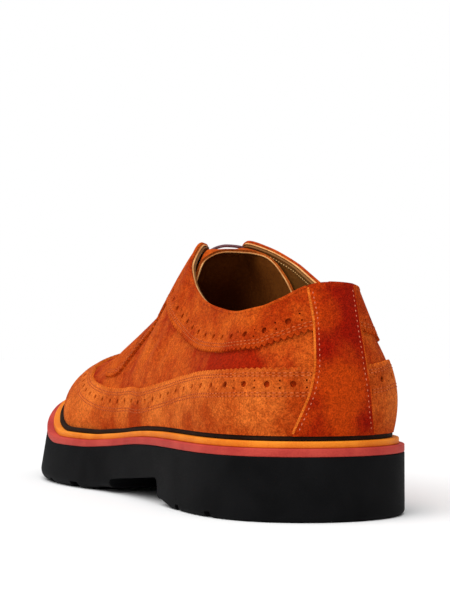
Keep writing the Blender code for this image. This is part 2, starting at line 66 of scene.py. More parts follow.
# %% Outline and profile of the sole
OUTLINE = (
    ("station", "medial", "lateral"),
    (0.0, 0.0, 0.0),
    (3.5, 16.5, 16.5),
    (15.0, 31.5, 31.5),
    (33.0, 40.0, 40.0),
    (58.0, 42.5, 43.0),
    (92.0, 40.5, 43.5),
    (125.0, 38.5, 45.0),
    (152.0, 41.0, 48.5),
    (183.0, 47.5, 55.0),
    (207.0, 52.5, 57.5),
    (232.0, 53.0, 55.5),
    (256.0, 48.0, 48.0),
    (277.5, 38.5, 37.0),
    (291.0, 27.5, 26.0),
    (298.5, 15.5, 14.5),
    (302.0, 0.0, 0.0),
)
PROFILE = (
    ("station", "top", "bottom"),
    (0.0, 23.9, 0.0),
    (68.0, 23.9, 0.0),
    (87.0, 23.8, 2.3),
    (110.0, 23.2, 2.3),
    (150.0, 20.2, 2.3),
    (176.0, 18.7, 0.0),
    (207.0, 18.5, 0.0),
    (228.0, 21.0, 0.0),
    (253.0, 27.0, 3.6),
    (272.0, 31.6, 7.2),
    (302.0, 37.5, 15.5),
)
CENTRE = (
    ("station", "across"),
    (0.0, -1.0),
    (60.0, -1.5),
    (110.0, -3.5),
    (150.0, -5.0),
    (200.0, -4.0),
    (232.0, -1.8),
    (302.0, 0.0),
)
print(f"outline with {len(OUTLINE) - 1} stations, {OUTLINE[-1][0]} mm long")

# %% Sections of the wall on both sides
SECTION = ("station", "flare", "rise", "shoulder_out", "shoulder_up", "end_out", "end_up")
SECTIONS = {
    "lateral": (
        SECTION,
        (5.0, 4.0, 18.0, 35.0, 68.0, 28.5, 88.0),
        (12.0, 4.0, 18.0, 35.0, 64.0, 28.5, 81.7),
        (20.0, 4.0, 18.0, 34.0, 59.0, 27.5, 78.8),
        (42.0, 4.0, 18.0, 32.5, 58.0, 25.5, 77.1),
        (68.0, 3.0, 18.0, 31.0, 61.5, 26.5, 79.8),
        (84.0, 2.5, 18.0, 30.5, 66.0, 26.0, 82.6),
        (98.0, 2.0, 19.0, 29.8, 70.5, 24.7, 86.4),
        (109.0, 2.0, 19.0, 29.3, 75.0, 23.4, 90.6),
        (118.0, 2.0, 19.0, 28.7, 80.0, 22.2, 97.4),
        (128.0, 2.0, 19.0, 27.0, 87.0, 17.4, 104.4),
        (138.0, 2.0, 19.0, 24.4, 95.0, 10.8, 109.3),
        (143.0, 2.0, 19.0, 24.0, 93.5, 7.4, 108.4),
        (155.0, 2.0, 18.0, 22.8, 86.0, 8.0, 96.5),
        (180.0, 2.0, 17.0, 26.0, 76.5, 6.0, 81.8),
        (208.0, 2.0, 15.0, 27.5, 68.8, 0.0, 69.6),
        (232.0, 2.0, 14.0, 27.0, 63.0, 0.0, 63.0),
        (255.0, 1.5, 12.0, 29.0, 63.0, 0.0, 63.0),
        (278.0, 1.0, 11.5, 32.0, 63.0, 0.0, 63.0),
        (294.0, 1.0, 11.5, 35.0, 63.0, 0.0, 63.0),
    ),
    "medial": (
        SECTION,
        (5.0, 4.0, 18.0, 35.0, 68.0, 28.5, 88.0),
        (12.0, 4.5, 19.0, 33.8, 66.5, 25.2, 86.4),
        (20.0, 5.0, 20.0, 32.6, 63.0, 20.8, 82.6),
        (42.0, 4.5, 20.0, 31.0, 62.0, 18.8, 80.0),
        (68.0, 4.0, 18.0, 28.5, 67.0, 22.0, 86.0),
        (84.0, 2.5, 18.0, 28.0, 73.0, 23.0, 91.0),
        (103.0, 2.0, 19.0, 27.5, 79.0, 22.5, 97.8),
        (118.0, 2.0, 19.0, 27.0, 86.0, 19.5, 103.6),
        (128.0, 2.0, 19.0, 26.0, 91.0, 16.0, 107.2),
        (140.0, 2.0, 19.0, 25.0, 96.0, 10.0, 110.5),
        (155.0, 2.0, 18.0, 23.5, 86.5, 8.0, 96.5),
        (180.0, 2.0, 17.0, 25.5, 77.0, 6.0, 81.8),
        (208.0, 2.0, 15.0, 26.5, 68.8, 0.0, 69.6),
        (232.0, 2.0, 14.0, 26.5, 63.0, 0.0, 63.0),
        (255.0, 1.5, 12.0, 29.0, 63.0, 0.0, 63.0),
        (278.0, 1.0, 11.5, 32.0, 63.0, 0.0, 63.0),
        (294.0, 1.0, 11.5, 35.0, 63.0, 0.0, 63.0),
    ),
}
print("sections:", {side: len(rows) - 1 for side, rows in SECTIONS.items()})

# %% Curves through the tables
def smooth(xs, ys, place):
    """Value at any place on a smooth curve through points, which never overshoots them."""
    xs = np.asarray(xs, float)
    ys = np.asarray(ys, float)
    slopes = np.diff(ys) / np.diff(xs)
    tangents = np.zeros(len(xs))
    tangents[0] = slopes[0]
    tangents[-1] = slopes[-1]
    for i in range(1, len(xs) - 1):
        before = slopes[i - 1]
        after = slopes[i]
        if before * after > 0:
            wide_after = 2 * (xs[i + 1] - xs[i]) + (xs[i] - xs[i - 1])
            wide_before = (xs[i + 1] - xs[i]) + 2 * (xs[i] - xs[i - 1])
            tangents[i] = (wide_after + wide_before) / (wide_after / before + wide_before / after)
    x = np.clip(np.asarray(place, float), xs[0], xs[-1])
    i = np.clip(np.searchsorted(xs, x) - 1, 0, len(xs) - 2)
    step = xs[i + 1] - xs[i]
    t = (x - xs[i]) / step
    start = (2 * t**3 - 3 * t**2 + 1) * ys[i] + (t**3 - 2 * t**2 + t) * step * tangents[i]
    end = (3 * t**2 - 2 * t**3) * ys[i + 1] + (t**3 - t**2) * step * tangents[i + 1]
    return start + end


def column(table, name, place):
    """Value of one named column of a table, at any place along the table's first column."""
    header, *rows = table
    index = header.index(name)
    return smooth([row[0] for row in rows], [row[index] for row in rows], place)


print(f"rubber is {column(PROFILE, 'top', 100.0):.1f} mm high under the waist")

# %% The closed outline of the sole
OUTLINE_SAMPLES = 2400


def sole_loop():
    """Closed smooth curve through the outline table: its points and inward normals, one per side."""
    outer = [(x, lateral) for x, _, lateral in OUTLINE[1:]]
    inner = [(x, -medial) for x, medial, _ in OUTLINE[-2:1:-1]]
    points = np.array(outer + inner)
    count = len(points)
    ring = np.vstack([points, points[:1]])
    chord = np.linalg.norm(np.diff(ring, axis=0), axis=1)
    run = np.concatenate([[0.0], np.cumsum(chord)])
    matrix = np.zeros((count, count))
    right = np.zeros((count, 2))
    for i in range(count):
        a = chord[i - 1]
        b = chord[i]
        matrix[i, i - 1] += b
        matrix[i, i] += 2 * (a + b)
        matrix[i, (i + 1) % count] += a
        right[i] = 3 * (b * (points[i] - points[i - 1]) / a + a * (ring[i + 1] - points[i]) / b)
    speed = np.linalg.solve(matrix, right)
    speed = np.vstack([speed, speed[:1]])
    place = np.linspace(0.0, run[-1], 2 * OUTLINE_SAMPLES, endpoint=False)
    i = np.clip(np.searchsorted(run, place, side="right") - 1, 0, count - 1)
    h = (run[i + 1] - run[i])[:, None]
    t = ((place - run[i]) / h[:, 0])[:, None]
    spot = (2 * t**3 - 3 * t**2 + 1) * ring[i] + (3 * t**2 - 2 * t**3) * ring[i + 1]
    spot = spot + (t**3 - 2 * t**2 + t) * h * speed[i] + (t**3 - t**2) * h * speed[i + 1]
    way = (6 * t**2 - 6 * t) / h * (ring[i] - ring[i + 1])
    way = way + (3 * t**2 - 4 * t + 1) * speed[i] + (3 * t**2 - 2 * t) * speed[i + 1]
    way = way / np.linalg.norm(way, axis=1)[:, None]
    both = np.hstack([spot, np.stack([way[:, 1], -way[:, 0]], axis=1)])
    both = np.roll(both, -int(np.argmin(spot[:, 0])), axis=0)
    toe = int(np.argmax(both[:, 0]))
    lateral = both[: toe + 1]
    medial = np.vstack([both[toe:], both[:1]])[::-1]
    return {"lateral": lateral, "medial": medial}


LOOP = sole_loop()
MIDDLE = -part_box("outsole")[0].x / MM
SIDE_SHIFT = (LOOP["lateral"][:, 1].max() + LOOP["medial"][:, 1].min()) / 2
print(f"middle of the sole at station {MIDDLE:.1f} mm, {SIDE_SHIFT:.2f} mm to the outer side")

# %% Steps in from the outline
FEATHER_STEP = (5.3, 10.5)
STEP_CHANGE = (110.0, 200.0)


def heel_to_toe(pair, station):
    """A size that changes from its heel value to its forefoot value through the waist."""
    first, final = STEP_CHANGE
    share = np.clip((np.asarray(station, float) - first) / (final - first), 0.0, 1.0)
    return pair[0] + (pair[1] - pair[0]) * share * share * (3 - 2 * share)


def edge(side, step, along):
    """Points of the sole's outline moved in by a step; along is 0 at the heel, 1 at the toe."""
    spot = LOOP[side][:, :2]
    moved = spot + LOOP[side][:, 2:] * heel_to_toe(step, spot[:, 0])[:, None]
    share = (1 - np.cos(np.pi * np.asarray(along, float))) / 2
    station = moved[0, 0] + (moved[-1, 0] - moved[0, 0]) * share
    return np.stack([station, np.interp(station, moved[:, 0], moved[:, 1])], axis=-1)


def sole_top(station):
    return column(PROFILE, "top", station)


def sole_bottom(station):
    return column(PROFILE, "bottom", station)


print(f"upper meets the welt {edge('lateral', FEATHER_STEP, 0.0)[0]:.1f} mm from the back")

# %% The wall of the last
FEATHER_HEIGHT = 7.7
HEEL_CENTRE = 42.0
TOE_CENTRE = 232.0
TOE_SLOPE = 0.19


def bezier(t, first, second, third, fourth):
    rest = 1 - t
    return rest**3 * first + 3 * t * rest**2 * second + 3 * t * t * rest * third + t**3 * fourth


def last(side, along, share):
    """Point on the bare last: along from heel to toe, share up the wall."""
    foot = edge(side, FEATHER_STEP, along)
    station = foot[..., 0]
    middle = np.clip(station, HEEL_CENTRE, TOE_CENTRE)
    origin = np.stack([middle, column(CENTRE, "across", middle)], axis=-1)
    reach = np.linalg.norm(foot - origin, axis=-1)
    outward = (foot - origin) / reach[..., None]
    size = {name: column(SECTIONS[side], name, station) for name in SECTION[1:]}
    toe_shoulder = size["end_up"] - TOE_SLOPE * size["shoulder_out"] * outward[..., 0]
    shoulder_up = np.where(station > TOE_CENTRE, toe_shoulder, size["shoulder_up"])
    base = sole_top(station) + FEATHER_HEIGHT
    out = bezier(share, reach, reach + size["flare"], size["shoulder_out"], size["end_out"])
    up = bezier(share, base, base + size["rise"], shoulder_up, size["end_up"])
    flat = origin + outward * out[..., None]
    return np.concatenate([flat, up[..., None]], axis=-1)


print("back seam at the topline:", np.round(last("lateral", np.float64(0.0), np.float64(1.0)), 1))

# %% Directions and places on the wall
NORMAL_STEP = 0.004
NORMAL_TOP = 0.985


def tangents(side, along, share):
    """Directions along and up the last, per unit of along and share, and the outward normal."""
    near = np.clip(along, NORMAL_STEP, 1 - NORMAL_STEP)
    level = np.clip(share, NORMAL_STEP, NORMAL_TOP)
    run = last(side, near + NORMAL_STEP, level) - last(side, near - NORMAL_STEP, level)
    climb = last(side, near, level + NORMAL_STEP) - last(side, near, level - NORMAL_STEP)
    run = run / (2 * NORMAL_STEP)
    climb = climb / (2 * NORMAL_STEP)
    normal = np.cross(run, climb)
    if side == "lateral":
        normal = -normal
    return run, climb, normal / np.linalg.norm(normal, axis=-1)[..., None]


def along_at(station):
    """The along value whose foot on the welt lies at a station."""
    first = edge("lateral", FEATHER_STEP, 0.0)[0]
    final = edge("lateral", FEATHER_STEP, 1.0)[0]
    return np.arccos(1 - 2 * np.clip((station - first) / (final - first), 0.0, 1.0)) / np.pi


def station_at(along):
    return edge("lateral", FEATHER_STEP, along)[..., 0]


def to_world(points):
    """Millimetres from the heel to metres about the middle of the sole's box."""
    return (np.asarray(points, float) - np.array([MIDDLE, SIDE_SHIFT, 0.0])) * MM


print(f"station 100 is at along {along_at(100.0):.3f}")

# %% [markdown]
# ## Creases and dents
# Suede over a last is never a perfect surface. Where the foot would bend, at the vamp, and
# on the soft quarter, low troughs and ridges run between two places on the wall. Each row
# gives the two ends as station and share, the width of the fold and its height. Sculpting
# would do it too, but only on one mesh at a time. This way every layer follows the same folds,
# so a panel never sinks into the one below it.

# %% Folds placed one by one
FOLD_ENDS = (0.08, 0.92)
FOLD_COLUMNS = ("side", "station_1", "share_1", "station_2", "share_2", "width", "height")
FOLDS = (
    ("lateral", 98.0, 0.60, 110.0, 0.38, 2.6, 0.8),
    ("lateral", 106.0, 0.60, 119.0, 0.36, 2.4, -0.9),
    ("lateral", 115.0, 0.60, 129.0, 0.33, 2.6, 0.8),
    ("lateral", 124.0, 0.60, 140.0, 0.31, 2.8, -0.9),
    ("lateral", 138.0, 0.57, 152.0, 0.30, 4.0, 0.4),
    ("lateral", 150.0, 0.52, 166.0, 0.30, 3.2, -0.5),
    ("lateral", 60.0, 0.58, 84.0, 0.42, 6.0, -0.5),
    ("lateral", 40.0, 0.86, 100.0, 0.80, 7.0, -0.4),
    ("lateral", 196.0, 0.62, 206.0, 0.40, 3.5, -0.6),
    ("lateral", 204.0, 0.66, 214.0, 0.47, 3.5, 0.5),
    ("lateral", 5.0, 0.66, 24.0, 0.62, 4.5, -0.4),
    ("medial", 5.0, 0.66, 20.0, 0.60, 4.5, -0.4),
    ("medial", 104.0, 0.60, 118.0, 0.36, 2.6, -0.6),
    ("medial", 116.0, 0.60, 130.0, 0.33, 2.6, 0.5),
    ("medial", 152.0, 0.56, 170.0, 0.30, 3.2, -0.6),
    ("medial", 198.0, 0.62, 208.0, 0.42, 3.5, -0.6),
    ("medial", 60.0, 0.80, 110.0, 0.76, 7.0, -0.4),
)


def folds(side, spot):
    """Height of the folds at points of the last, in millimetres outwards."""
    rise = np.zeros(spot.shape[:-1])
    for row in FOLDS:
        fold = dict(zip(FOLD_COLUMNS, row))
        if fold["side"] != side:
            continue
        first = last(side, along_at(fold["station_1"]), np.float64(fold["share_1"]))
        final = last(side, along_at(fold["station_2"]), np.float64(fold["share_2"]))
        line = final - first
        t = np.clip(((spot - first) @ line) / (line @ line), 0.0, 1.0)
        away = np.linalg.norm(spot - first - t[..., None] * line, axis=-1)
        fade = np.sin(np.pi * np.clip(t, *FOLD_ENDS))
        rise = rise + fold["height"] * fade * np.exp(-((away / fold["width"]) ** 2))
    return rise


def skin(side, along, share, offset=0.0):
    """Point on the shoe's surface: the last with its folds, moved outwards by an offset."""
    along, share = np.broadcast_arrays(np.asarray(along, float), np.asarray(share, float))
    spot = last(side, along, share)
    normal = tangents(side, along, share)[2]
    return spot + normal * (folds(side, spot) + offset)[..., None]


print("folds placed:", len(FOLDS))

# %% [markdown]
# ## From sheets to pieces
# A leather panel is cut flat and pulled over the last. Here it starts as a flat grid too, whose
# corners are then laid on the last. Seams are merged, faces turned outwards, and Solidify gives
# the thickness. Each panel could be modelled by hand, but a change to the last would then mean
# doing all of them again.

# %% A piece from sheets of faces
def add_sheet(bm, columns, rows, place):
    """Grid of faces whose corners go where place(u, v) says, u and v from 0 to 1."""
    made = bmesh.ops.create_grid(bm, x_segments=columns, y_segments=rows, size=1.0)["verts"]
    flat = np.array([vert.co[:2] for vert in made])
    spots = to_world(place((flat[:, 0] + 1) / 2, (flat[:, 1] + 1) / 2))
    for vert, spot in zip(made, spots):
        vert.co = spot


MERGE = 0.02
SHARP = math.radians(38)


def make_piece(bm, name, finishes, outward=None):
    """Close the seams of a mesh, face it outwards and make an object of it."""
    bmesh.ops.remove_doubles(bm, verts=bm.verts, dist=MERGE * MM)
    bmesh.ops.dissolve_degenerate(bm, edges=bm.edges, dist=MERGE * MM / 4)
    bmesh.ops.recalc_face_normals(bm, faces=bm.faces)
    if outward:
        total = 0.0
        for face in bm.faces:
            total += face.normal.dot(outward(face.calc_center_median())) * face.calc_area()
        if total < 0:
            bmesh.ops.reverse_faces(bm, faces=bm.faces)
    mesh = bpy.data.meshes.new(name)
    bm.to_mesh(mesh)
    bm.free()
    for finish in finishes:
        mesh.materials.append(finish)
    piece = bpy.data.objects.new(name, mesh)
    bpy.context.scene.collection.objects.link(piece)
    return piece


print(f"corners closer than {MERGE} mm are joined")

# %% Outwards, thickness and the ride on the shoe
AXIS_HEIGHT = 0.05
END_WEIGHT = 0.35
TOP_WEIGHT = 0.4


def from_middle(centre):
    """Outwards from the shoe's long axis, for the wall pieces."""
    return Vector((END_WEIGHT * centre.x, centre.y, TOP_WEIGHT * (centre.z - AXIS_HEIGHT)))


def upwards(centre):
    return Vector((0.0, 0.0, 1.0))


def thicken(piece, thickness, outward):
    """Give a sheet its thickness; the far face takes the second finish, the cut edge the third."""
    wall = piece.modifiers.new("Wall", "SOLIDIFY")
    wall.thickness = thickness * MM
    wall.offset = 1.0 if outward else -1.0
    wall.use_even_offset = False
    wall.material_offset = 1
    wall.material_offset_rim = 2


def apply_modifiers(piece):
    """Turn the modifiers of a piece into faces."""
    view = bpy.context.evaluated_depsgraph_get()
    mesh = bpy.data.meshes.new_from_object(piece.evaluated_get(view))
    piece.modifiers.clear()
    old = piece.data
    piece.data = mesh
    bpy.data.meshes.remove(old)
    mesh.name = piece.name
    return mesh


def settle(piece, node_names, tones_and_shade=()):
    """Apply the modifiers, shade the piece and let it ride on the shoe in place of its solids."""
    mesh = apply_modifiers(piece)
    mesh.shade_smooth()
    mesh.set_sharp_from_angle(angle=SHARP)
    if tones_and_shade:
        brush_tones_and_shade(mesh, tones_and_shade)
    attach(piece, "root")
    if node_names:
        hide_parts(*node_names)
    mesh.calc_loop_triangles()
    print(f"{piece.name}: {len(mesh.loop_triangles)} triangles")
    return piece


print("pieces are shaded smooth up to", round(math.degrees(SHARP)), "degrees")

# %% [markdown]
# ## Brushing and painted shade
# A hand over suede leaves lighter and darker places. The largest ones are placed, each
# with a side, station, share, size in millimetres and strength, and kept on the mesh as an
# attribute that the suede's colour reads. Painting by hand would do the same in the editor.
# A few darker places along the wing's top edge are painted shade, not brushing.

# %% Lighter and darker places of each panel, some of them painted shade
TONES_AND_SHADE = {
    "wall": (
        ("lateral", 12.0, 0.59, 13.0, 0.12),
        # The next four darken the wall just above the wing's top edge: painted shade along that edge.
        ("lateral", 10.0, 0.49, 5.0, -0.12),
        ("lateral", 18.0, 0.53, 6.0, -0.14),
        ("lateral", 30.0, 0.545, 9.0, -0.10),
        ("lateral", 46.0, 0.525, 10.0, -0.06),
        ("lateral", 20.0, 0.62, 16.0, -0.06),
        ("lateral", 34.0, 0.60, 22.0, -0.10),
        ("lateral", 58.0, 0.56, 22.0, -0.08),
        ("lateral", 103.0, 0.42, 18.0, 0.08),
        ("lateral", 104.0, 0.56, 10.0, 0.06),
        ("lateral", 128.0, 0.495, 10.0, -0.06),
        ("lateral", 170.0, 0.35, 14.0, -0.05),
        ("medial", 16.0, 0.52, 14.0, -0.08),
        ("medial", 70.0, 0.55, 22.0, -0.10),
        ("medial", 110.0, 0.45, 18.0, 0.08),
    ),
    "wing": (
        ("lateral", 29.6, 0.39, 12.0, 0.03),
        ("lateral", 37.0, 0.36, 7.0, -0.08),
        ("lateral", 13.0, 0.25, 14.0, 0.02),
        ("lateral", 7.1, 0.14, 8.0, -0.20),
        ("lateral", 30.0, 0.03, 12.0, -0.10),
        ("lateral", 60.0, 0.02, 12.0, -0.10),
        ("lateral", 96.0, 0.16, 15.0, 0.11),
        ("lateral", 130.6, 0.06, 7.0, -0.16),
        ("lateral", 160.0, 0.06, 11.0, -0.07),
        ("lateral", 204.0, 0.23, 28.0, 0.09),
        ("medial", 10.0, 0.30, 14.0, -0.10),
        ("medial", 60.0, 0.20, 18.0, 0.07),
        ("medial", 204.0, 0.23, 28.0, 0.09),
    ),
    "collar": (
        ("lateral", 16.5, 0.88, 10.0, -0.06),
        ("lateral", 12.0, 0.98, 8.0, -0.08),
        ("lateral", 8.3, 0.87, 6.0, 0.10),
        ("lateral", 30.0, 0.76, 11.0, -0.07),
        ("lateral", 67.0, 0.79, 14.0, 0.02),
        ("lateral", 140.0, 0.80, 18.0, 0.06),
        ("medial", 20.0, 0.85, 12.0, -0.06),
        ("medial", 70.0, 0.80, 15.0, 0.06),
    ),
    "strip": (
        ("lateral", 5.3, 0.36, 8.0, 0.13),
        ("medial", 5.6, 0.32, 8.0, 0.14),
        ("lateral", 5.3, 0.76, 5.0, 0.05),
        ("medial", 6.0, 0.70, 9.0, -0.12),
        ("lateral", 5.6, 0.55, 8.0, -0.08),
        ("medial", 7.0, 0.10, 7.0, -0.12),
        ("medial", 5.4, 0.17, 4.5, 0.14),
        ("medial", 5.4, 0.05, 4.5, 0.12),
        ("medial", 6.0, 0.93, 10.0, -0.13),
        ("lateral", 6.5, 0.14, 7.0, -0.05),
    ),
}


def brush_tones_and_shade(mesh, tones_and_shade):
    """Keep the sum of brushing and painted shade at each corner as an attribute of the mesh."""
    corners = np.array([vert.co[:] for vert in mesh.vertices])
    total = np.zeros(len(corners))
    for side, station, share, size, strength in tones_and_shade:
        centre = to_world(last(side, along_at(station), np.float64(share)))
        away = np.linalg.norm(corners - centre, axis=1)
        total += strength * np.exp(-((away / (size * MM)) ** 2))
    kept = mesh.attributes.new("brushed_and_shaded", "FLOAT", "POINT")
    kept.data.foreach_set("value", total)


print("brushed places:", {panel: len(rows) for panel, rows in TONES_AND_SHADE.items()})

# %% [markdown]
# ## Finishes
# Suede is leather with its flesh side out, brushed to a nap. It shows soft blotches, a mottle of
# a few millimetres and a fine speckle where single fibres catch the light, so its colour is
# built from noise at four sizes. An image could do this for one view, but noise on the piece's
# own coordinates fits every side. The effect is one node group that each suede panel places
# with its own colours.

# %% Helpers for shader nodes
def paint(red, green, blue):
    """A colour given as 0 to 255 on a screen, as the shader reads it."""
    return tuple(((c / 255 + 0.055) / 1.055) ** 2.4 for c in (red, green, blue)) + (1.0,)


def add(tree, kind, inputs=None, **settings):
    """One shader node; inputs are values or other nodes' sockets, by name or number."""
    made = tree.nodes.new(kind)
    for name, value in settings.items():
        setattr(made, name, value)
    for name, value in (inputs or {}).items():
        if isinstance(value, bpy.types.NodeSocket):
            tree.links.new(value, made.inputs[name])
        else:
            made.inputs[name].default_value = value
    return made


def noise(tree, vector, scale, detail, distortion=0.0):
    wanted = {"Vector": vector, "Scale": scale, "Detail": detail, "Distortion": distortion}
    return add(tree, "ShaderNodeTexNoise", wanted).outputs[0]


def spread(tree, value, low, high, to_low=0.0, to_high=1.0):
    """A value stretched from one range to another, with soft ends."""
    wanted = {0: value, 1: low, 2: high, 3: to_low, 4: to_high}
    return add(tree, "ShaderNodeMapRange", wanted, interpolation_type="SMOOTHSTEP").outputs[0]


def blend(tree, factor, first, second, mode="MIX"):
    wanted = {0: factor, 6: first, 7: second}
    return add(tree, "ShaderNodeMix", wanted, data_type="RGBA", blend_type=mode).outputs[2]


def sums(tree, operation, first, second):
    return add(tree, "ShaderNodeMath", {0: first, 1: second}, operation=operation).outputs[0]


COLOUR = "NodeSocketColor"
NUMBER = "NodeSocketFloat"
VECTOR = "NodeSocketVector"


def new_group(name, inputs, outputs):
    """An empty node group with named sockets."""
    tree = bpy.data.node_groups.new(name, "ShaderNodeTree")
    for label, kind in inputs.items():
        tree.interface.new_socket(label, in_out="INPUT", socket_type=kind)
    for label, kind in outputs.items():
        tree.interface.new_socket(label, in_out="OUTPUT", socket_type=kind)
    return tree, tree.nodes.new("NodeGroupInput").outputs, tree.nodes.new("NodeGroupOutput").inputs


print(f"a middle grey is {paint(128, 128, 128)[0]:.3f} to the shader")

# %% The nap of suede as a node group
PATCH_SCALE = 150.0
MOTTLE_SCALE = 620.0
FIBRE_SCALE = 1700.0
BLOTCH_WEIGHT = 0.60
PATCH_WEIGHT = 0.26
MOTTLE_WEIGHT = 0.14
TONE_ENDS = (0.32, 0.68)
NOISE_ENDS = (0.25, 0.75)
FIBRE_SPECKLE = (0.66, 1.34)
MOTTLE_SPECKLE = (0.85, 1.15)
MIDDLE_ENDS = (0.3, 0.7)
NAP_ROUGHNESS = (0.98, 0.86)
FIBRE_HEIGHT = 0.7
MOTTLE_HEIGHT = 0.5


def suede_group():
    """Two colours mixed by soft blotches, with a mottle and a speckle of fibres over them."""
    tree, start, end = new_group(
        "suede_nap",
        {"Bright": COLOUR, "Deep": COLOUR, "Shift": VECTOR, "Blotch": NUMBER, "Brushed_and_Shaded": NUMBER},
        {"Colour": COLOUR, "Roughness": NUMBER, "Height": NUMBER},
    )
    place = add(tree, "ShaderNodeTexCoord").outputs["Object"]
    place = add(tree, "ShaderNodeVectorMath", {0: place, 1: start["Shift"]}, operation="ADD").outputs[0]
    blotch = noise(tree, place, start["Blotch"], 3.0)
    patch = noise(tree, place, PATCH_SCALE, 4.0)
    mottle = noise(tree, place, MOTTLE_SCALE, 3.0)
    fibre = noise(tree, place, FIBRE_SCALE, 2.0)
    tone = start["Brushed_and_Shaded"]
    for part, weight in ((blotch, BLOTCH_WEIGHT), (patch, PATCH_WEIGHT), (mottle, MOTTLE_WEIGHT)):
        tone = sums(tree, "ADD", tone, sums(tree, "MULTIPLY", part, weight))
    colour = blend(tree, spread(tree, tone, *TONE_ENDS), start["Deep"], start["Bright"])
    speckle = spread(tree, fibre, *NOISE_ENDS, *FIBRE_SPECKLE)
    speckle = sums(tree, "MULTIPLY", speckle, spread(tree, mottle, *NOISE_ENDS, *MOTTLE_SPECKLE))
    grey = add(tree, "ShaderNodeCombineColor", {0: speckle, 1: speckle, 2: speckle}).outputs[0]
    tree.links.new(blend(tree, 1.0, colour, grey, "MULTIPLY"), end["Colour"])
    tree.links.new(spread(tree, patch, *MIDDLE_ENDS, *NAP_ROUGHNESS), end["Roughness"])
    low = sums(tree, "MULTIPLY", mottle, MOTTLE_HEIGHT)
    tree.links.new(sums(tree, "ADD", sums(tree, "MULTIPLY", fibre, FIBRE_HEIGHT), low), end["Height"])
    return tree


SUEDE = suede_group()
print(SUEDE.name, "has", len(SUEDE.nodes), "nodes")

# %% Grain of leather, rubber and thread as a second group
CLOUD_WEIGHT = 0.65
GRAIN_WEIGHT = 0.35
CLOUD_ENDS = (0.35, 0.65)
GLOSS_CHANGE = (-0.08, 0.08)
CELL_HEIGHT = 0.6


def grain_group():
    """Two colours mixed by soft clouds, with a fine grain in height and gloss."""
    tree, start, end = new_group(
        "fine_grain",
        {"Light": COLOUR, "Dark": COLOUR, "Cloud": NUMBER, "Grain": NUMBER, "Matt": NUMBER},
        {"Colour": COLOUR, "Roughness": NUMBER, "Height": NUMBER},
    )
    place = add(tree, "ShaderNodeTexCoord").outputs["Object"]
    cloud = noise(tree, place, start["Cloud"], 3.0, 0.4)
    grain = noise(tree, place, start["Grain"], 2.0)
    cells = add(tree, "ShaderNodeTexVoronoi", {"Vector": place, "Scale": start["Grain"]}).outputs[0]
    fine = sums(tree, "MULTIPLY", grain, GRAIN_WEIGHT)
    tone = sums(tree, "ADD", sums(tree, "MULTIPLY", cloud, CLOUD_WEIGHT), fine)
    colour = blend(tree, spread(tree, tone, *CLOUD_ENDS), start["Dark"], start["Light"])
    matt = sums(tree, "ADD", start["Matt"], spread(tree, grain, *MIDDLE_ENDS, *GLOSS_CHANGE))
    tree.links.new(colour, end["Colour"])
    tree.links.new(matt, end["Roughness"])
    tree.links.new(sums(tree, "ADD", sums(tree, "MULTIPLY", cells, CELL_HEIGHT), grain), end["Height"])
    return tree


GRAIN = grain_group()
print(GRAIN.name, "has", len(GRAIN.nodes), "nodes")

# %% Materials from the groups
NAP_BUMP = 0.6
NAP_RELIEF = 0.35
NAP_SPECULAR = 0.04
NAP_SHEEN = {"Sheen_Weight": 0.03, "Sheen_Roughness": 0.5, "Sheen_Tint": paint(255, 150, 90)}
USUAL_SPECULAR = 0.5


def finish(name, group, values, bump, relief, **constants):
    """A material from one of the groups, with a bump and constant shader values of its own."""
    made = bpy.data.materials.new(name)
    made.use_nodes = True
    tree = made.node_tree
    shader = tree.nodes["Principled BSDF"]
    look = add(tree, "ShaderNodeGroup", node_tree=group)
    for label, value in values.items():
        look.inputs[label].default_value = value
    for label, value in constants.items():
        shader.inputs[label.replace("_", " ")].default_value = value
    surface = {"Strength": bump, "Distance": relief * MM, "Height": look.outputs["Height"]}
    raised = add(tree, "ShaderNodeBump", surface)
    tree.links.new(look.outputs["Colour"], shader.inputs["Base Color"])
    tree.links.new(look.outputs["Roughness"], shader.inputs["Roughness"])
    tree.links.new(raised.outputs["Normal"], shader.inputs["Normal"])
    return made


def suede(name, bright, deep, shift, blotch):
    """Suede of two colours, whose brushing and painted shade come from the mesh."""
    values = {"Bright": paint(*bright), "Deep": paint(*deep), "Shift": shift, "Blotch": blotch}
    constants = {"Specular_IOR_Level": NAP_SPECULAR, **NAP_SHEEN}
    made = finish(name, SUEDE, values, NAP_BUMP, NAP_RELIEF, **constants)
    tree = made.node_tree
    look = next(node for node in tree.nodes if node.type == "GROUP")
    brushed_and_shaded = add(tree, "ShaderNodeAttribute", attribute_name="brushed_and_shaded")
    tree.links.new(brushed_and_shaded.outputs["Fac"], look.inputs["Brushed_and_Shaded"])
    return made


def grained(name, light, dark, cloud, grain, matt, bump, relief, specular=USUAL_SPECULAR):
    """Leather, rubber or thread of two colours: sizes of its clouds and grain, then its gloss."""
    values = {"Light": paint(*light), "Dark": paint(*dark), "Cloud": cloud, "Grain": grain, "Matt": matt}
    return finish(name, GRAIN, values, bump, relief, Specular_IOR_Level=specular)


print("two ways to finish a piece: suede and grained")

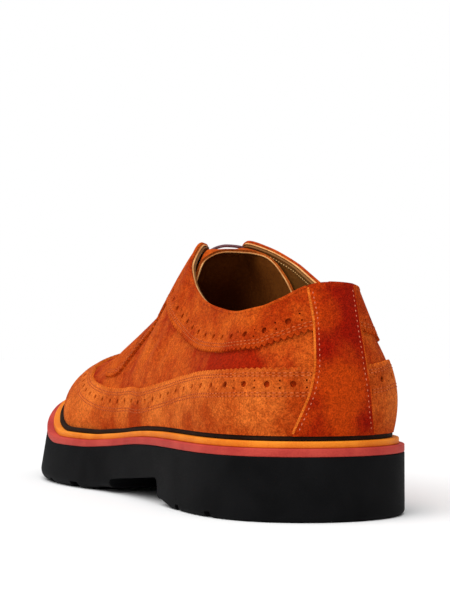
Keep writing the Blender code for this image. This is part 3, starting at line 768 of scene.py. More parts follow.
# %% The finishes of this shoe
PANEL_SUEDE = suede("panel_suede", (198, 90, 26), (146, 28, 1), (0.0, 0.0, 0.0), 34.0)
WING_SUEDE = suede("wing_cap_suede", (210, 106, 38), (160, 54, 9), (0.37, 0.11, 0.05), 34.0)
QUARTER_SUEDE = suede("collar_suede", (194, 85, 20), (150, 38, 1), (0.71, 0.23, 0.19), 34.0)
STRIP_SUEDE = suede("heel_strip_suede", (174, 56, 6), (134, 16, 0), (1.13, 0.41, 0.33), 44.0)
EDGE_SUEDE = suede("folded_edge_suede", (218, 114, 38), (190, 86, 22), (1.7, 0.6, 0.4), 60.0)
TONGUE_EDGE = suede("tongue_edge_suede", (176, 88, 30), (136, 56, 12), (2.1, 0.2, 0.7), 60.0)
CUT_EDGE = grained("tan_cut_edge", (232, 172, 104), (196, 118, 52), 120.0, 1800.0, 0.8, 0.4, 0.3)
LINING = grained("brown_lining", (128, 80, 26), (94, 52, 11), 30.0, 900.0, 0.6, 0.25, 0.2, 0.25)
DEEP_LINING = grained("deep_lining", (136, 76, 22), (102, 48, 9), 30.0, 900.0, 0.7, 0.25, 0.2, 0.15)
# A darker red under the panels: painted shade for the bottoms of the punched holes.
HOLE_SHADE_BACKING = grained("hole_shade_backing", (184, 62, 10), (142, 34, 3), 60.0, 1200.0, 0.95, 0.3, 0.2, 0.05)
RUBBER = grained("black_sole_rubber", (17, 17, 18), (9, 9, 10), 55.0, 2400.0, 0.72, 0.22, 0.12, 0.05)
TREAD = grained("tread_rubber", (20, 20, 21), (10, 10, 11), 40.0, 260.0, 0.8, 0.9, 0.8, 0.05)
CORAL = grained("coral_layer", (188, 66, 54), (166, 46, 40), 70.0, 1500.0, 0.68, 0.3, 0.15, 0.2)
ORANGE = grained("orange_layer", (236, 140, 32), (220, 114, 14), 70.0, 1500.0, 0.62, 0.25, 0.12, 0.2)
WELT = grained("dark_welt_leather", (44, 30, 22), (28, 18, 12), 80.0, 1600.0, 0.7, 0.3, 0.2, 0.05)
THREAD = grained("orange_thread", (206, 106, 60), (174, 76, 34), 700.0, 4200.0, 0.85, 0.5, 0.15, 0.08)
# Dark beads between the stitches: painted shade in the needle holes.
PIT_SHADE = grained("stitch_pit_shade", (150, 56, 12), (116, 32, 4), 700.0, 4200.0, 0.95, 0.5, 0.15, 0.05)
PALE_THREAD = grained("pale_thread", (222, 140, 108), (192, 98, 68), 700.0, 4200.0, 0.85, 0.5, 0.15, 0.08)
TAN_THREAD = grained("tan_thread", (222, 180, 116), (190, 140, 78), 700.0, 4200.0, 0.75, 0.5, 0.15)
LACE = grained("waxed_lace", (126, 84, 92), (84, 52, 60), 500.0, 3200.0, 0.6, 0.6, 0.25)
print("finishes:", len(bpy.data.materials))

# %% [markdown]
# ## The sole
# The unit sole is moulded black rubber, with two foam layers and a dark welt glued on top.
# In the photo the layers show as thin stripes, each stepped in a little from the one below.
# A loft suits them: one closed section, repeated along the foot. The heel breast, the arch and
# the cross grooves are cut out of the rubber, as the mould does it. The fine tread is a bump
# on the faces that look straight down, because it never shows as an outline.

# %% Lofts along the foot
def outlines(along, step, height):
    """Outer and inner points of one outline at a height that follows the station."""
    points = []
    for side in SIDES:
        flat = edge(side, step, along)
        points.append(np.concatenate([flat, height(flat[..., 0])[..., None]], axis=-1))
    return points


def loft(bm, columns, levels):
    """Solid between levels of (step, height): down the outer side and up the inner one."""
    sides = 2 * len(levels)

    def place(u, v):
        pairs = [outlines(u, step, height) for step, height in levels]
        corners = np.stack([pair[0] for pair in pairs] + [pair[1] for pair in reversed(pairs)], axis=1)
        return corners[np.arange(len(u)), np.round(v * sides).astype(int) % sides]

    add_sheet(bm, columns, sides, place)


def widened(step, more):
    return tuple(one + more for one in step)


def layer_levels(step, low, high, radius, turns=3):
    """Levels of a slab with rounded edges, at heights above the rubber."""
    levels = []
    for i in range(turns + 1):
        angle = i / turns * math.pi / 2
        inset = widened(step, radius * (1 - math.sin(angle)))
        levels.append((inset, high - radius * (1 - math.cos(angle))))
    levels += [(inset, low + high - height) for inset, height in reversed(levels)]
    return [(inset, lambda x, height=height: sole_top(x) + height) for inset, height in levels]


SOLE_COLUMNS = 260
LAYER_ROUND = 0.45
print(f"each layer of the sole is lofted in {SOLE_COLUMNS} columns")

# %% Foam layers and insole
WALL = 2.0
SOLE_LAYERS = {"coral": (0.02, 3.05), "orange": (3.07, 5.55), "welt": (5.57, 7.66)}
CORAL_STEP = (0.0, 1.2)
ORANGE_STEP = (2.1, 4.4)
INSOLE_HEIGHTS = (5.7, 10.2)
SOCK_GAP = 0.5
SOCK_ROUND = 1.2
for name, step, finish_used, node, slot in (
    ("coral", CORAL_STEP, CORAL, "midsole_lower", "coral_midsole"),
    ("orange", ORANGE_STEP, ORANGE, "midsole_upper", "orange_midsole"),
):
    bm = bmesh.new()
    loft(bm, SOLE_COLUMNS, layer_levels(step, *SOLE_LAYERS[name], LAYER_ROUND))
    settle(make_piece(bm, f"{name}_layer", [finish_used]), [node])

bm = bmesh.new()
loft(bm, SOLE_COLUMNS, layer_levels(widened(FEATHER_STEP, WALL + SOCK_GAP), *INSOLE_HEIGHTS, SOCK_ROUND))
settle(make_piece(bm, "sock_lining", [DEEP_LINING]), ["insole"])

# %% Welt ring
WELT_STEP = (4.6, 7.4)


def welt_ring(bm):
    """Dark ledge round the upper: a ring with a rounded outer edge."""
    low, high = SOLE_LAYERS["welt"]
    outer = layer_levels(WELT_STEP, low, high, LAYER_ROUND)
    inner_step = widened(FEATHER_STEP, WALL)
    inner = [(inner_step, outer[-1][1]), (inner_step, outer[0][1])]
    corners = outer + inner

    def place(u, v):
        turn = 2 * u
        along = np.where(turn <= 1, turn, 2 - turn)
        index = np.round(v * len(corners)).astype(int) % len(corners)
        spots = np.zeros((len(u), 3))
        for k, (step, height) in enumerate(corners):
            pair = outlines(along, step, height)
            ring = np.where((turn <= 1)[:, None], pair[0], pair[1])
            spots[index == k] = ring[index == k]
        return spots

    add_sheet(bm, 2 * SOLE_COLUMNS, len(corners), place)


bm = bmesh.new()
welt_ring(bm)
settle(make_piece(bm, "welt_ledge", [WELT]), ["welt"])

# %% Rubber unit with its arch and grooves
RUBBER_TURNS = 7
RUBBER_CHAMFER = 0.35
SOLE_FLARE = (0.0, 1.6)
SOLE_ROUND = (2.0, 4.5)
GROOVE_CHAMFER = 0.6
CUT_BELOW = -5.0
ARCH = ((87.0, CUT_BELOW), (87.0, 8.0), (88.0, 10.2), (90.5, 11.0), (141.0, 6.6), (143.2, 6.0),
        (144.0, 4.6), (144.0, CUT_BELOW))
GROOVES = (("station", "width", "depth"), (34.0, 4.0, 2.4), (62.0, 4.0, 2.4), (178.0, 8.0, 2.8),
           (207.0, 4.0, 2.4), (238.0, 4.5, 2.4))
CUT_REACH = 80.0
TREAD_FACING = -0.98


def rubber_levels():
    """The side flares a little at the forefoot, then rounds under to the tread."""
    levels = [
        (widened(CORAL_STEP, RUBBER_CHAMFER), sole_top),
        (CORAL_STEP, lambda x: sole_top(x) - RUBBER_CHAMFER),
    ]
    for i in range(RUBBER_TURNS + 1):
        turn = i / RUBBER_TURNS * math.pi / 2
        step = tuple(r * (1 - math.cos(turn)) - out for r, out in zip(SOLE_ROUND, SOLE_FLARE))
        lift = 1 - math.sin(turn)
        levels.append((step, lambda x, lift=lift: sole_bottom(x) + lift * heel_to_toe(SOLE_ROUND, x)))
    return levels


def cut_across(bm, profile):
    """A cutter through the whole width, from a profile of stations and heights."""
    corners = to_world([(x, SIDE_SHIFT - CUT_REACH, z) for x, z in profile])
    face = bm.faces.new([bm.verts.new(spot) for spot in corners])
    grown = bmesh.ops.extrude_face_region(bm, geom=[face])["geom"]
    moved = [item for item in grown if isinstance(item, bmesh.types.BMVert)]
    bmesh.ops.translate(bm, verts=moved, vec=(0.0, 2 * CUT_REACH * MM, 0.0))


def cut_out(piece, cutter):
    """Subtract a cutter from a piece and throw the cutter away."""
    tool = piece.modifiers.new("Cut", "BOOLEAN")
    tool.operation = "DIFFERENCE"
    tool.solver = "EXACT"
    tool.object = cutter
    apply_modifiers(piece)
    bpy.data.objects.remove(cutter, do_unlink=True)


bm = bmesh.new()
loft(bm, SOLE_COLUMNS, rubber_levels())
rubber_unit = make_piece(bm, "rubber_unit", [RUBBER])
bm = bmesh.new()
cut_across(bm, ARCH)
for station, width, depth in GROOVES[1:]:
    top = float(sole_bottom(station)) + depth
    left = station - width / 2
    right = station + width / 2
    side_top = top - GROOVE_CHAMFER
    cut_across(bm, ((left, CUT_BELOW), (left, side_top), (left + GROOVE_CHAMFER, top),
                    (right - GROOVE_CHAMFER, top), (right, side_top), (right, CUT_BELOW)))
cut_out(rubber_unit, make_piece(bm, "sole_cutter", []))
rubber_unit.data.materials.append(TREAD)
for face in rubber_unit.data.polygons:
    face.material_index = 1 if face.normal.z < TREAD_FACING else 0
settle(rubber_unit, ["outsole"])

# %% [markdown]
# ## The upper
# Under all the panels lies one wall, pulled over the last: a suede shell with a tan cut edge and
# a brown lining inside it. The shell shows as the vamp and the middle panels. Both walls could be
# drawn by hand, but Solidify gives a sheet its second face and its rim at once. Where a panel
# covers the shell, it gets a darker red backing, painted shade that shows in the punched holes.

# %% Edges of the panels
WING_EDGE = (
    ("station", "share"),
    (5.0, 0.45),
    (10.7, 0.475),
    (21.0, 0.528),
    (44.0, 0.51),
    (71.5, 0.42),
    (100.0, 0.298),
    (131.5, 0.230),
    (166.5, 0.275),
    (188.5, 0.333),
    (210.6, 0.425),
    (228.5, 0.53),
    (246.0, 0.655),
    (254.0, 0.77),
    (259.0, 0.90),
    (262.0, 1.0),
    (294.0, 1.0),
)
QUARTER_EDGE = (
    ("station", "share"),
    (5.0, 0.715),
    (11.0, 0.692),
    (23.0, 0.705),
    (48.5, 0.690),
    (67.3, 0.662),
    (84.0, 0.657),
    (102.0, 0.664),
    (117.0, 0.658),
    (128.0, 0.65),
    (138.0, 0.634),
    (150.0, 0.605),
    (158.0, 0.555),
    (163.5, 0.49),
    (167.0, 0.42),
    (170.0, 0.382),
    (175.0, 0.372),
    (187.0, 0.392),
)
STRIP_EDGE = (
    ("share", "lateral", "medial"),
    (0.0, 16.5, 17.2),
    (0.15, 13.0, 14.8),
    (0.30, 9.9, 13.8),
    (0.50, 8.0, 12.8),
    (0.72, 7.8, 13.0),
    (1.0, 9.8, 14.9),
)
STRIP_RADIUS = 36.7
WING_PEAK = 262.0
TAB_CORNER = 187.0
TAB_TOP = 201.0


def strip_along(side, share, beyond=0.0):
    """Where the heel strip's edge lies, as an along value, at each share of the wall."""
    turn = (column(STRIP_EDGE, side, share) + beyond) / STRIP_RADIUS
    return along_at(edge("lateral", FEATHER_STEP, 0.0)[0] + STRIP_RADIUS * (1 - np.cos(turn)))


print(f"facings end at station {TAB_TOP:.0f}, the wing's peak is at {WING_PEAK:.0f}")

# %% The lined wall
SHELL = 0.9
UPPER_COLUMNS = 230
UPPER_ROWS = 60
COVERED = 0.035
# Faces under a panel take the darker backing, as painted shade in the punched holes.
HOLE_SHADE_SLOT = 3


def under_a_panel(along, share):
    """Which places of the wall lie under the wing or a collar band."""
    station = station_at(along)
    under_wing = share < column(WING_EDGE, "share", station) - COVERED
    under_quarter = (share > column(QUARTER_EDGE, "share", station) + COVERED) & (station < TAB_CORNER)
    return under_wing | under_quarter


bm = bmesh.new()
for side in SIDES:
    before = len(bm.faces)
    add_sheet(bm, UPPER_COLUMNS, UPPER_ROWS, lambda u, v, side=side: skin(side, u, v))
    bm.faces.ensure_lookup_table()
    counted = np.arange(len(bm.faces) - before)
    middle_u = (counted % UPPER_COLUMNS + 0.5) / UPPER_COLUMNS
    middle_v = (counted // UPPER_COLUMNS + 0.5) / UPPER_ROWS
    for face, hidden in zip(bm.faces[before:], under_a_panel(middle_u, middle_v)):
        face.material_index = HOLE_SHADE_SLOT if hidden else 0
lined_wall = make_piece(
    bm, "lined_wall", [PANEL_SUEDE, LINING, CUT_EDGE, HOLE_SHADE_BACKING, LINING, CUT_EDGE], from_middle
)
GROUND = BVHTree.FromPolygons(
    [vert.co.copy() for vert in lined_wall.data.vertices],
    [tuple(face.vertices) for face in lined_wall.data.polygons],
)
thicken(lined_wall, SHELL, False)
settle(lined_wall, ["upper"], TONES_AND_SHADE["wall"])

# %% The lining inside the shell
SNUG = 0.05
LINING_COLUMNS = 150
LINING_ROWS = 36
LINING_TOP = 0.992
bm = bmesh.new()
for side in SIDES:
    add_sheet(bm, LINING_COLUMNS, LINING_ROWS,
              lambda u, v, side=side: skin(side, u, v * LINING_TOP, -SHELL - SNUG))
lining = make_piece(bm, "lining_sleeve", [LINING], from_middle)
thicken(lining, WALL - SHELL - SNUG, False)
settle(lining, [])

# %% [markdown]
# ## Panels with gimped edges
# The wing cap, the collar bands with their facings and the heel strip are cut from suede and
# sewn on. A gimping tool gives the wing and the bands small scallops along their edges. These
# are made in the mesh, by giving the sheet several columns for each one and pushing its edge in
# and out, because a bump can't change an outline. The folded edges of the heel strip and of the
# topline are round cords, partly sunk into the suede, which is simpler than folding a sheet.

# %% Lines on the wall
SCALLOP = 2.6
SCALLOP_DEPTH = 1.2
SCALLOP_STEPS = 6
SCALLOP_MIDDLE = 0.6
SCALLOP_END = 0.60
SCALLOP_FADE = 0.1
FINE_POINTS = 3000


def run_along(points):
    """Length run at each point of a line, from its start."""
    return np.concatenate([[0.0], np.cumsum(np.linalg.norm(np.diff(points, axis=0), axis=1))])


def even_line(side, table, first, final, spacing):
    """Along and share of a table's edge at equal steps over the wall, and the length run."""
    fine = np.linspace(first, final, FINE_POINTS)
    level = column(table, "share", station_at(fine))
    run = run_along(last(side, fine, level))
    count = int(round(run[-1] / spacing))
    length = np.linspace(0.0, run[-1], count + 1)
    return np.interp(length, run, fine), np.interp(length, run, level), length


def across_line(side, along, share):
    """Unit vectors over the wall, square to a line and pointing down from it."""
    spots = last(side, along, share)
    run = np.gradient(spots, axis=0)
    run = run / np.linalg.norm(run, axis=1)[:, None]
    normal = tangents(side, along, share)[2]
    down = np.cross(normal, run)
    return down if side == "lateral" else -down


def pushed(side, along, share, way):
    """Along and share after a small move over the wall by a vector in millimetres."""
    run, climb, _ = tangents(side, along, share)
    a = np.sum(run * run, axis=1)
    b = np.sum(run * climb, axis=1)
    c = np.sum(climb * climb, axis=1)
    on_run = np.sum(run * way, axis=1)
    on_climb = np.sum(climb * way, axis=1)
    area = a * c - b * b
    return along + (c * on_run - b * on_climb) / area, share + (a * on_climb - b * on_run) / area


def scalloped(side, along, share, length, upward):
    """The same line with scallops up the wall, which fade out over the toe, or down the wall."""
    bump = SCALLOP_DEPTH * (np.abs(np.sin(np.pi * length / SCALLOP)) - SCALLOP_MIDDLE)
    if upward:
        bump = bump * np.clip((SCALLOP_END - share) / SCALLOP_FADE, 0.0, 1.0)
    way = across_line(side, along, share) * bump[:, None]
    return pushed(side, along, share, -way if upward else way)


print(f"scallops {SCALLOP} mm wide and {SCALLOP_DEPTH} mm deep")

# %% Wing cap
PANEL = 1.15
TUCK = -0.6
WING_SEAM = 0.5
WING_ROWS = 15
TOE_COLUMNS = 60
SEAM_FADE = 0.16


def beside_strip(side, along, share, level):
    """Lets the rear end of a panel follow the spreading foot of the heel strip."""
    start = strip_along(side, level)
    weight = np.clip(1 - (along - start) / SEAM_FADE, 0.0, 1.0)
    return along + (strip_along(side, share) - start) * weight


def wing_sheet(bm, side):
    """One half of the wing, from under the heel strip to the toe; gives back its edge."""
    first = float(strip_along(side, WING_SEAM, TUCK))
    final = float(along_at(WING_PEAK))
    along, share, length = even_line(side, WING_EDGE, first, final, SCALLOP / SCALLOP_STEPS)
    top_along, top_share = scalloped(side, along, share, length, True)
    toe = np.linspace(along[-1], 1.0, TOE_COLUMNS + 1)[1:]
    foot = np.concatenate([along, toe])
    top_along = np.concatenate([top_along, toe])
    top_share = np.concatenate([np.minimum(top_share, 1.0), np.ones(TOE_COLUMNS)])

    def place(u, v):
        index = np.round(u * (len(foot) - 1)).astype(int)
        level = top_share[index] * v
        where = foot[index] + (top_along[index] - foot[index]) * v
        return skin(side, beside_strip(side, where, level, top_share[index]), level, SNUG)

    add_sheet(bm, len(foot) - 1, WING_ROWS, place)
    return along, share


bm = bmesh.new()
wing_lines = {side: wing_sheet(bm, side) for side in SIDES}
wing_cap = make_piece(bm, "wing_cap", [WING_SUEDE, WING_SUEDE, EDGE_SUEDE], from_middle)
thicken(wing_cap, PANEL, True)
print("wing edge in", len(wing_lines["lateral"][0]), "points on the outer side")

# %% Collar bands with their facings
COLLAR_SEAM = 0.8
COLLAR_LEAN = 0.3
QUARTER_ROWS = 16
TAB_BLEND = 0.16


def quarter_sheet(bm, side):
    """One collar band, which widens into the facing; gives back its lower edge."""
    first = float(strip_along(side, COLLAR_SEAM, TUCK))
    final = float(along_at(TAB_CORNER))
    along, share, length = even_line(side, QUARTER_EDGE, first, final, SCALLOP / SCALLOP_STEPS)
    low_along, low_share = scalloped(side, along, share, length, False)
    low_along[0] = first
    lean = np.clip((along - (final - TAB_BLEND)) / TAB_BLEND, 0.0, 1.0) ** 2
    top_along = along + (float(along_at(TAB_TOP)) - final) * lean

    def place(u, v):
        index = np.round(u * (len(along) - 1)).astype(int)
        where = low_along[index] + (top_along[index] - low_along[index]) * v
        return skin(side, where, low_share[index] + (1 - low_share[index]) * v, SNUG)

    add_sheet(bm, len(along) - 1, QUARTER_ROWS, place)
    return along, share


quarters = {}
quarter_lines = {}
for side in SIDES:
    bm = bmesh.new()
    quarter_lines[side] = quarter_sheet(bm, side)
    outward = Vector((0.0, 1.0 if side == "lateral" else -1.0, COLLAR_LEAN))
    finishes = [QUARTER_SUEDE] * 3
    quarters[side] = make_piece(bm, f"collar_band_{side}", finishes, lambda centre, way=outward: way)
    thicken(quarters[side], PANEL, True)
print("collar edge in", len(quarter_lines["lateral"][0]), "points on the outer side")

# %% Heel strip
STRIP = 1.5
STRIP_COLUMNS = 14
STRIP_ROWS = 70
bm = bmesh.new()
for side in SIDES:
    add_sheet(bm, STRIP_COLUMNS, STRIP_ROWS,
              lambda u, v, side=side: skin(side, u * strip_along(side, v), v, SNUG))
heel_strip = make_piece(bm, "back_strip", [STRIP_SUEDE] * 3, lambda centre: Vector((-1.0, 0.0, 0.0)))
thicken(heel_strip, STRIP, True)
settle(heel_strip, ["heel_strip"], TONES_AND_SHADE["strip"])

# %% Folded edges of the strip
def tube(bm, path, radius, sides, ahead=(1.0, 0.0, 0.0)):
    """A round cord along a path in millimetres, with closed ends; it never runs along ahead."""
    way = np.gradient(path, axis=0)
    way = way / np.linalg.norm(way, axis=1)[:, None]
    ahead = np.array(ahead)
    right = ahead - way * (way @ ahead)[:, None]
    right = right / np.linalg.norm(right, axis=1)[:, None]
    up = np.cross(way, right)
    points = len(path) - 1

    def place(u, v):
        index = np.round(u * points).astype(int)
        turn = 2 * np.pi * v
        around = right[index] * np.cos(turn)[:, None] + up[index] * np.sin(turn)[:, None]
        return path[index] + around * radius

    add_sheet(bm, points, sides, place)
    bmesh.ops.remove_doubles(bm, verts=bm.verts, dist=MERGE * MM)
    bmesh.ops.holes_fill(bm, edges=[one for one in bm.edges if one.is_boundary])


CORD_SIDES = 8
EDGE_RADIUS = 0.6
EDGE_POINTS = 120
EDGE_ENDS = (0.015, 0.985)
EDGE_SUNK = 0.7
bm = bmesh.new()
for side in SIDES:
    up = np.linspace(*EDGE_ENDS, EDGE_POINTS)
    path = skin(side, strip_along(side, up), up, STRIP - EDGE_RADIUS * EDGE_SUNK)
    tube(bm, path, EDGE_RADIUS, CORD_SIDES)
# The inner fold takes the darker collar suede as painted shade on the heel's shaded side; the outer fold
# takes the edge suede.
for face in bm.faces:
    face.material_index = 0 if face.calc_center_median().y > 0 else 1
settle(make_piece(bm, "strip_folds", [EDGE_SUEDE, QUARTER_SUEDE]), [])

# %% Rolled edge of the topline
ROLL_RADIUS = 0.9
ROLL_POINTS = 260
ROLL_SHARE = 0.992
ROLL_START = 0.6
ROLL_STOP = 0.004
bm = bmesh.new()
for side in SIDES:
    first = float(strip_along(side, 1.0, ROLL_START))
    final = float(along_at(TAB_TOP)) - ROLL_STOP
    path = skin(side, np.linspace(first, final, ROLL_POINTS), ROLL_SHARE, SNUG + PANEL / 2)
    tube(bm, path, ROLL_RADIUS, CORD_SIDES, (0.0, 0.0, 1.0))
settle(make_piece(bm, "topline_roll", [QUARTER_SUEDE]), [])

# %% [markdown]
# ## Broguing
# The punched holes give the shoe its name. A row of large holes, with a pair of small ones
# between each two, runs below the wing's edge and above the collar band's. They are cut with
# one Boolean for each panel: the cutter holds all its punches as short round pegs that stand
# square to the wall.

# %% Punches along a line
HOLE_PITCH = 9.7
HOLE_START = 0.9
PIN_START = 0.4
HOLE_RADIUS = 1.2
PIN_RADIUS = 0.38
PIN_APART = 1.35
HOLE_LINE = 5.8
PUNCH_LENGTH = 7.0
HOLE_SEGMENTS = 14
PIN_SEGMENTS = 8
LOOK_AHEAD = 0.3


def seam_line(side, along, share, inset):
    """World points of a line moved over the wall by an inset; a positive one goes down."""
    spots = to_world(last(side, along, share) + across_line(side, along, share) * inset)
    return np.array([GROUND.find_nearest(Vector(spot))[0] for spot in spots])


def spaced(points, pitch, start=0.5):
    """Places at equal spacing along a line: the point, the wall's normal and the direction."""
    run = run_along(points)

    def spot_at(length):
        return Vector([np.interp(length, run, points[:, axis]) for axis in range(3)])

    placed = []
    for here in (np.arange(int(run[-1] / (pitch * MM) - start + 0.5)) + start) * pitch * MM:
        way = spot_at(here + LOOK_AHEAD * MM) - spot_at(here - LOOK_AHEAD * MM)
        ground, normal, _, _ = GROUND.find_nearest(spot_at(here))
        placed.append((ground, normal, way.normalized()))
    return placed


def punch(bm, spot, normal, radius, segments):
    """A round peg that stands square to the wall."""
    turn = normal.to_track_quat("Z", "Y").to_matrix().to_4x4()
    bmesh.ops.create_cone(
        bm, cap_ends=True, segments=segments, radius1=radius * MM, radius2=radius * MM,
        depth=PUNCH_LENGTH * MM, matrix=Matrix.Translation(spot) @ turn,
    )


def brogue_row(bm, line):
    """Large holes along a line, with a pair of small ones between each two."""
    for spot, normal, _ in spaced(line, HOLE_PITCH, HOLE_START):
        punch(bm, spot, normal, HOLE_RADIUS, HOLE_SEGMENTS)
    for spot, normal, way in spaced(line, HOLE_PITCH, PIN_START):
        across = normal.cross(way)
        for hand in (-1.0, 1.0):
            punch(bm, spot + across * hand * PIN_APART * MM, normal, PIN_RADIUS, PIN_SEGMENTS)


print(f"a large hole every {HOLE_PITCH} mm")

# %% Cutting the holes
EYELET_FIRST = 142.0
EYELET_PITCH = 13.5
EYELETS = 5
EYELET_SHARE = 0.92
EYELET_RADIUS = 1.3
EYELET_SEGMENTS = 16
HOLES_END = 152.0
HOLES_PEAK = 0.90


def part_of(line, keep):
    """The points of an edge that a mask keeps."""
    return line[0][keep], line[1][keep]


bm = bmesh.new()
for side in SIDES:
    line = part_of(wing_lines[side], wing_lines[side][1] < HOLES_PEAK)
    brogue_row(bm, seam_line(side, *line, HOLE_LINE))
cut_out(wing_cap, make_piece(bm, "wing_punches", []))
settle(wing_cap, ["wing"], TONES_AND_SHADE["wing"])

for side in SIDES:
    bm = bmesh.new()
    line = part_of(quarter_lines[side], station_at(quarter_lines[side][0]) < HOLES_END)
    brogue_row(bm, seam_line(side, *line, -HOLE_LINE))
    for number in range(EYELETS):
        spot = skin(side, along_at(EYELET_FIRST + number * EYELET_PITCH), EYELET_SHARE)
        ground, normal, _, _ = GROUND.find_nearest(Vector(to_world(spot)))
        punch(bm, ground, normal, EYELET_RADIUS, EYELET_SEGMENTS)
    cut_out(quarters[side], make_piece(bm, f"collar_punches_{side}", []))
    settle(quarters[side], [f"quarter_{side}"], TONES_AND_SHADE["collar"])

# %% [markdown]
# ## Stitching
# Two rows of orange thread follow each gimped edge, two more run below the wing's holes and one
# runs down each facing. They hardly differ from the suede, and show best by the shade in the
# needle holes between them, painted as small dark beads. Paler thread runs down each side of the
# heel strip, and tan thread holds the lining under the topline. A stitch or a painted pit is a
# small flattened bead, half sunk into the suede. Thousands of them would be slow to model one by
# one, so one bead is copied by array arithmetic and each row becomes part of one mesh.

# %% Beads of thread
def bead():
    """Corners and faces of one stitch of unit size, lying along X, with Z away from the suede."""
    bm = bmesh.new()
    bmesh.ops.create_uvsphere(bm, u_segments=6, v_segments=5, radius=0.5)
    bmesh.ops.rotate(bm, verts=bm.verts, matrix=Matrix.Rotation(math.pi / 2, 3, "Y"))
    corners = np.array([vert.co[:] for vert in bm.verts])
    faces = [[vert.index for vert in face.verts] for face in bm.faces]
    bm.free()
    return corners, faces


BEAD_CORNERS, BEAD_FACES = bead()


def sew(name, rows, thread, pitch, size, start=0.5):
    """One mesh of all the stitches in rows of (line, height above the wall)."""
    corners = []
    faces = []
    shape = BEAD_CORNERS * np.array(size) * MM
    for line, height in rows:
        for spot, normal, way in spaced(line, pitch, start):
            across = normal.cross(way).normalized()
            turn = np.array([way, across, way.cross(across)])
            centre = np.array(spot + normal * height * MM)
            faces += [[corner + len(corners) * len(shape) for corner in face] for face in BEAD_FACES]
            corners.append(shape @ turn + centre)
    mesh = bpy.data.meshes.new(name)
    mesh.from_pydata(np.concatenate(corners).tolist(), [], faces)
    mesh.materials.append(thread)
    piece = bpy.data.objects.new(name, mesh)
    bpy.context.scene.collection.objects.link(piece)
    return settle(piece, [])


print("faces of one stitch:", len(BEAD_FACES))

# %% Sizes of the stitches
ON_PANEL = SNUG + PANEL
ON_STRIP = SNUG + STRIP
IN_LINING = -WALL - SNUG
WING_ROWS_DOWN = (1.7, 2.8, 9.0, 10.2)
COLLAR_ROWS_UP = (1.7, 3.0)
TOPLINE_ROW = 1.6
FACING_ROW = 2.4
STRIP_ROW = 1.6
FINE_STITCH = (1.35, 0.44, 0.36)
PIT_SHADE_SIZE = (0.7, 0.5, 0.3)
PALE_STITCH = (0.85, 0.38, 0.32)
LINING_STITCH = (1.4, 0.5, 0.5)
STITCH_PITCH = 2.1
LINING_PITCH = 2.2
PALE_PITCH = 2.0
PIT_SHADE_START = 1.0
STITCH_PEAK = 0.93
TOP_SHARE = 0.99
TOPLINE_END = 138.0
FACING_ENDS = (140.0, 198.0)
STRIP_ENDS = (0.03, 0.98)
TOPLINE_POINTS = 400
SHORT_POINTS = 200


def top_line(side, first, final, count, inset):
    """A line just below the topline or the facing's front edge."""
    along = np.linspace(float(first), float(final), count)
    return seam_line(side, along, np.full(count, TOP_SHARE), inset)


def sew_with_pit_shade(panel, rows):
    """Orange stitches in rows, and between each two of them a dark bead, painted shade in the needle's
    hole.
    """
    sew(f"{panel}_stitches", rows, THREAD, STITCH_PITCH, FINE_STITCH)
    sew(f"{panel}_pit_shade", rows, PIT_SHADE, STITCH_PITCH, PIT_SHADE_SIZE, PIT_SHADE_START)


print(f"an orange stitch is {FINE_STITCH[0]} mm long, a pale one {PALE_STITCH[0]} mm")

# %% Rows of stitches
rows = []
for side in SIDES:
    line = part_of(wing_lines[side], wing_lines[side][1] < STITCH_PEAK)
    rows += [(seam_line(side, *line, down), ON_PANEL) for down in WING_ROWS_DOWN]
sew_with_pit_shade("wing", rows)

rows = []
lining_rows = []
strip_rows = []
facing_ends = [along_at(station) for station in FACING_ENDS]
for side in SIDES:
    rows += [(seam_line(side, *quarter_lines[side], -up), ON_PANEL) for up in COLLAR_ROWS_UP]
    rows.append((top_line(side, *facing_ends, SHORT_POINTS, FACING_ROW), ON_PANEL))
    back = strip_along(side, 1.0)
    topline = top_line(side, back, along_at(TOPLINE_END), TOPLINE_POINTS, TOPLINE_ROW)
    lining_rows.append((topline, IN_LINING))
    up = np.linspace(*STRIP_ENDS, SHORT_POINTS)
    strip_rows.append((to_world(skin(side, strip_along(side, up, -STRIP_ROW), up)), ON_STRIP))
sew_with_pit_shade("collar", rows)
sew("lining_stitches", lining_rows, TAN_THREAD, LINING_PITCH, LINING_STITCH)
sew("strip_stitches", strip_rows, PALE_THREAD, PALE_PITCH, PALE_STITCH)

# %% [markdown]
# ## Tongue and lace
# The tongue is a sheet that bridges the opening under the facings: suede outside, lining
# inside, and a tan line inside its rim. It could be draped as cloth, but arches across the last
# keep its shape in hand. The lace runs straight across between each pair of eyelets. The top
# bar comes from under the facings. The others lie over them and turn down into the holes. Round
# cords along smooth paths are enough for it.

# %% Tongue
TONGUE_FRONT = 203.0
TONGUE_TOP = (("across", "station"), (0.0, 108.0), (0.23, 122.0), (0.35, 127.0), (0.50, 132.6),
              (0.62, 131.6), (0.67, 129.0), (0.72, 122.0), (0.76, 115.0), (0.80, 110.0), (1.0, 99.0))
TONGUE_SHARE = (0.80, 0.62)
TONGUE_WIDENS = (178.0, 154.0)
TONGUE_ROWS = (0.0, 0.35, 0.7, 1.0)
TONGUE_CROWN = (("station", "share"), (90.0, 0.05), (131.0, 0.05), (142.0, -0.07), (203.0, -0.07))
TONGUE_GAP = (0.7, 1.5)
TONGUE_GAP_ENDS = (203.0, 141.0)
TONGUE_THICKNESS = 1.5
TONGUE_COLUMNS = 40
ARCH_POINTS = 81
ARCH_START = 94.0
ARCH_COUNT = 60


def resampled(points, count):
    """Even points on a smooth curve through a few."""
    run = run_along(points)
    at = np.linspace(0.0, run[-1], count)
    return np.stack([smooth(run, line, at) for line in points.T], axis=1)


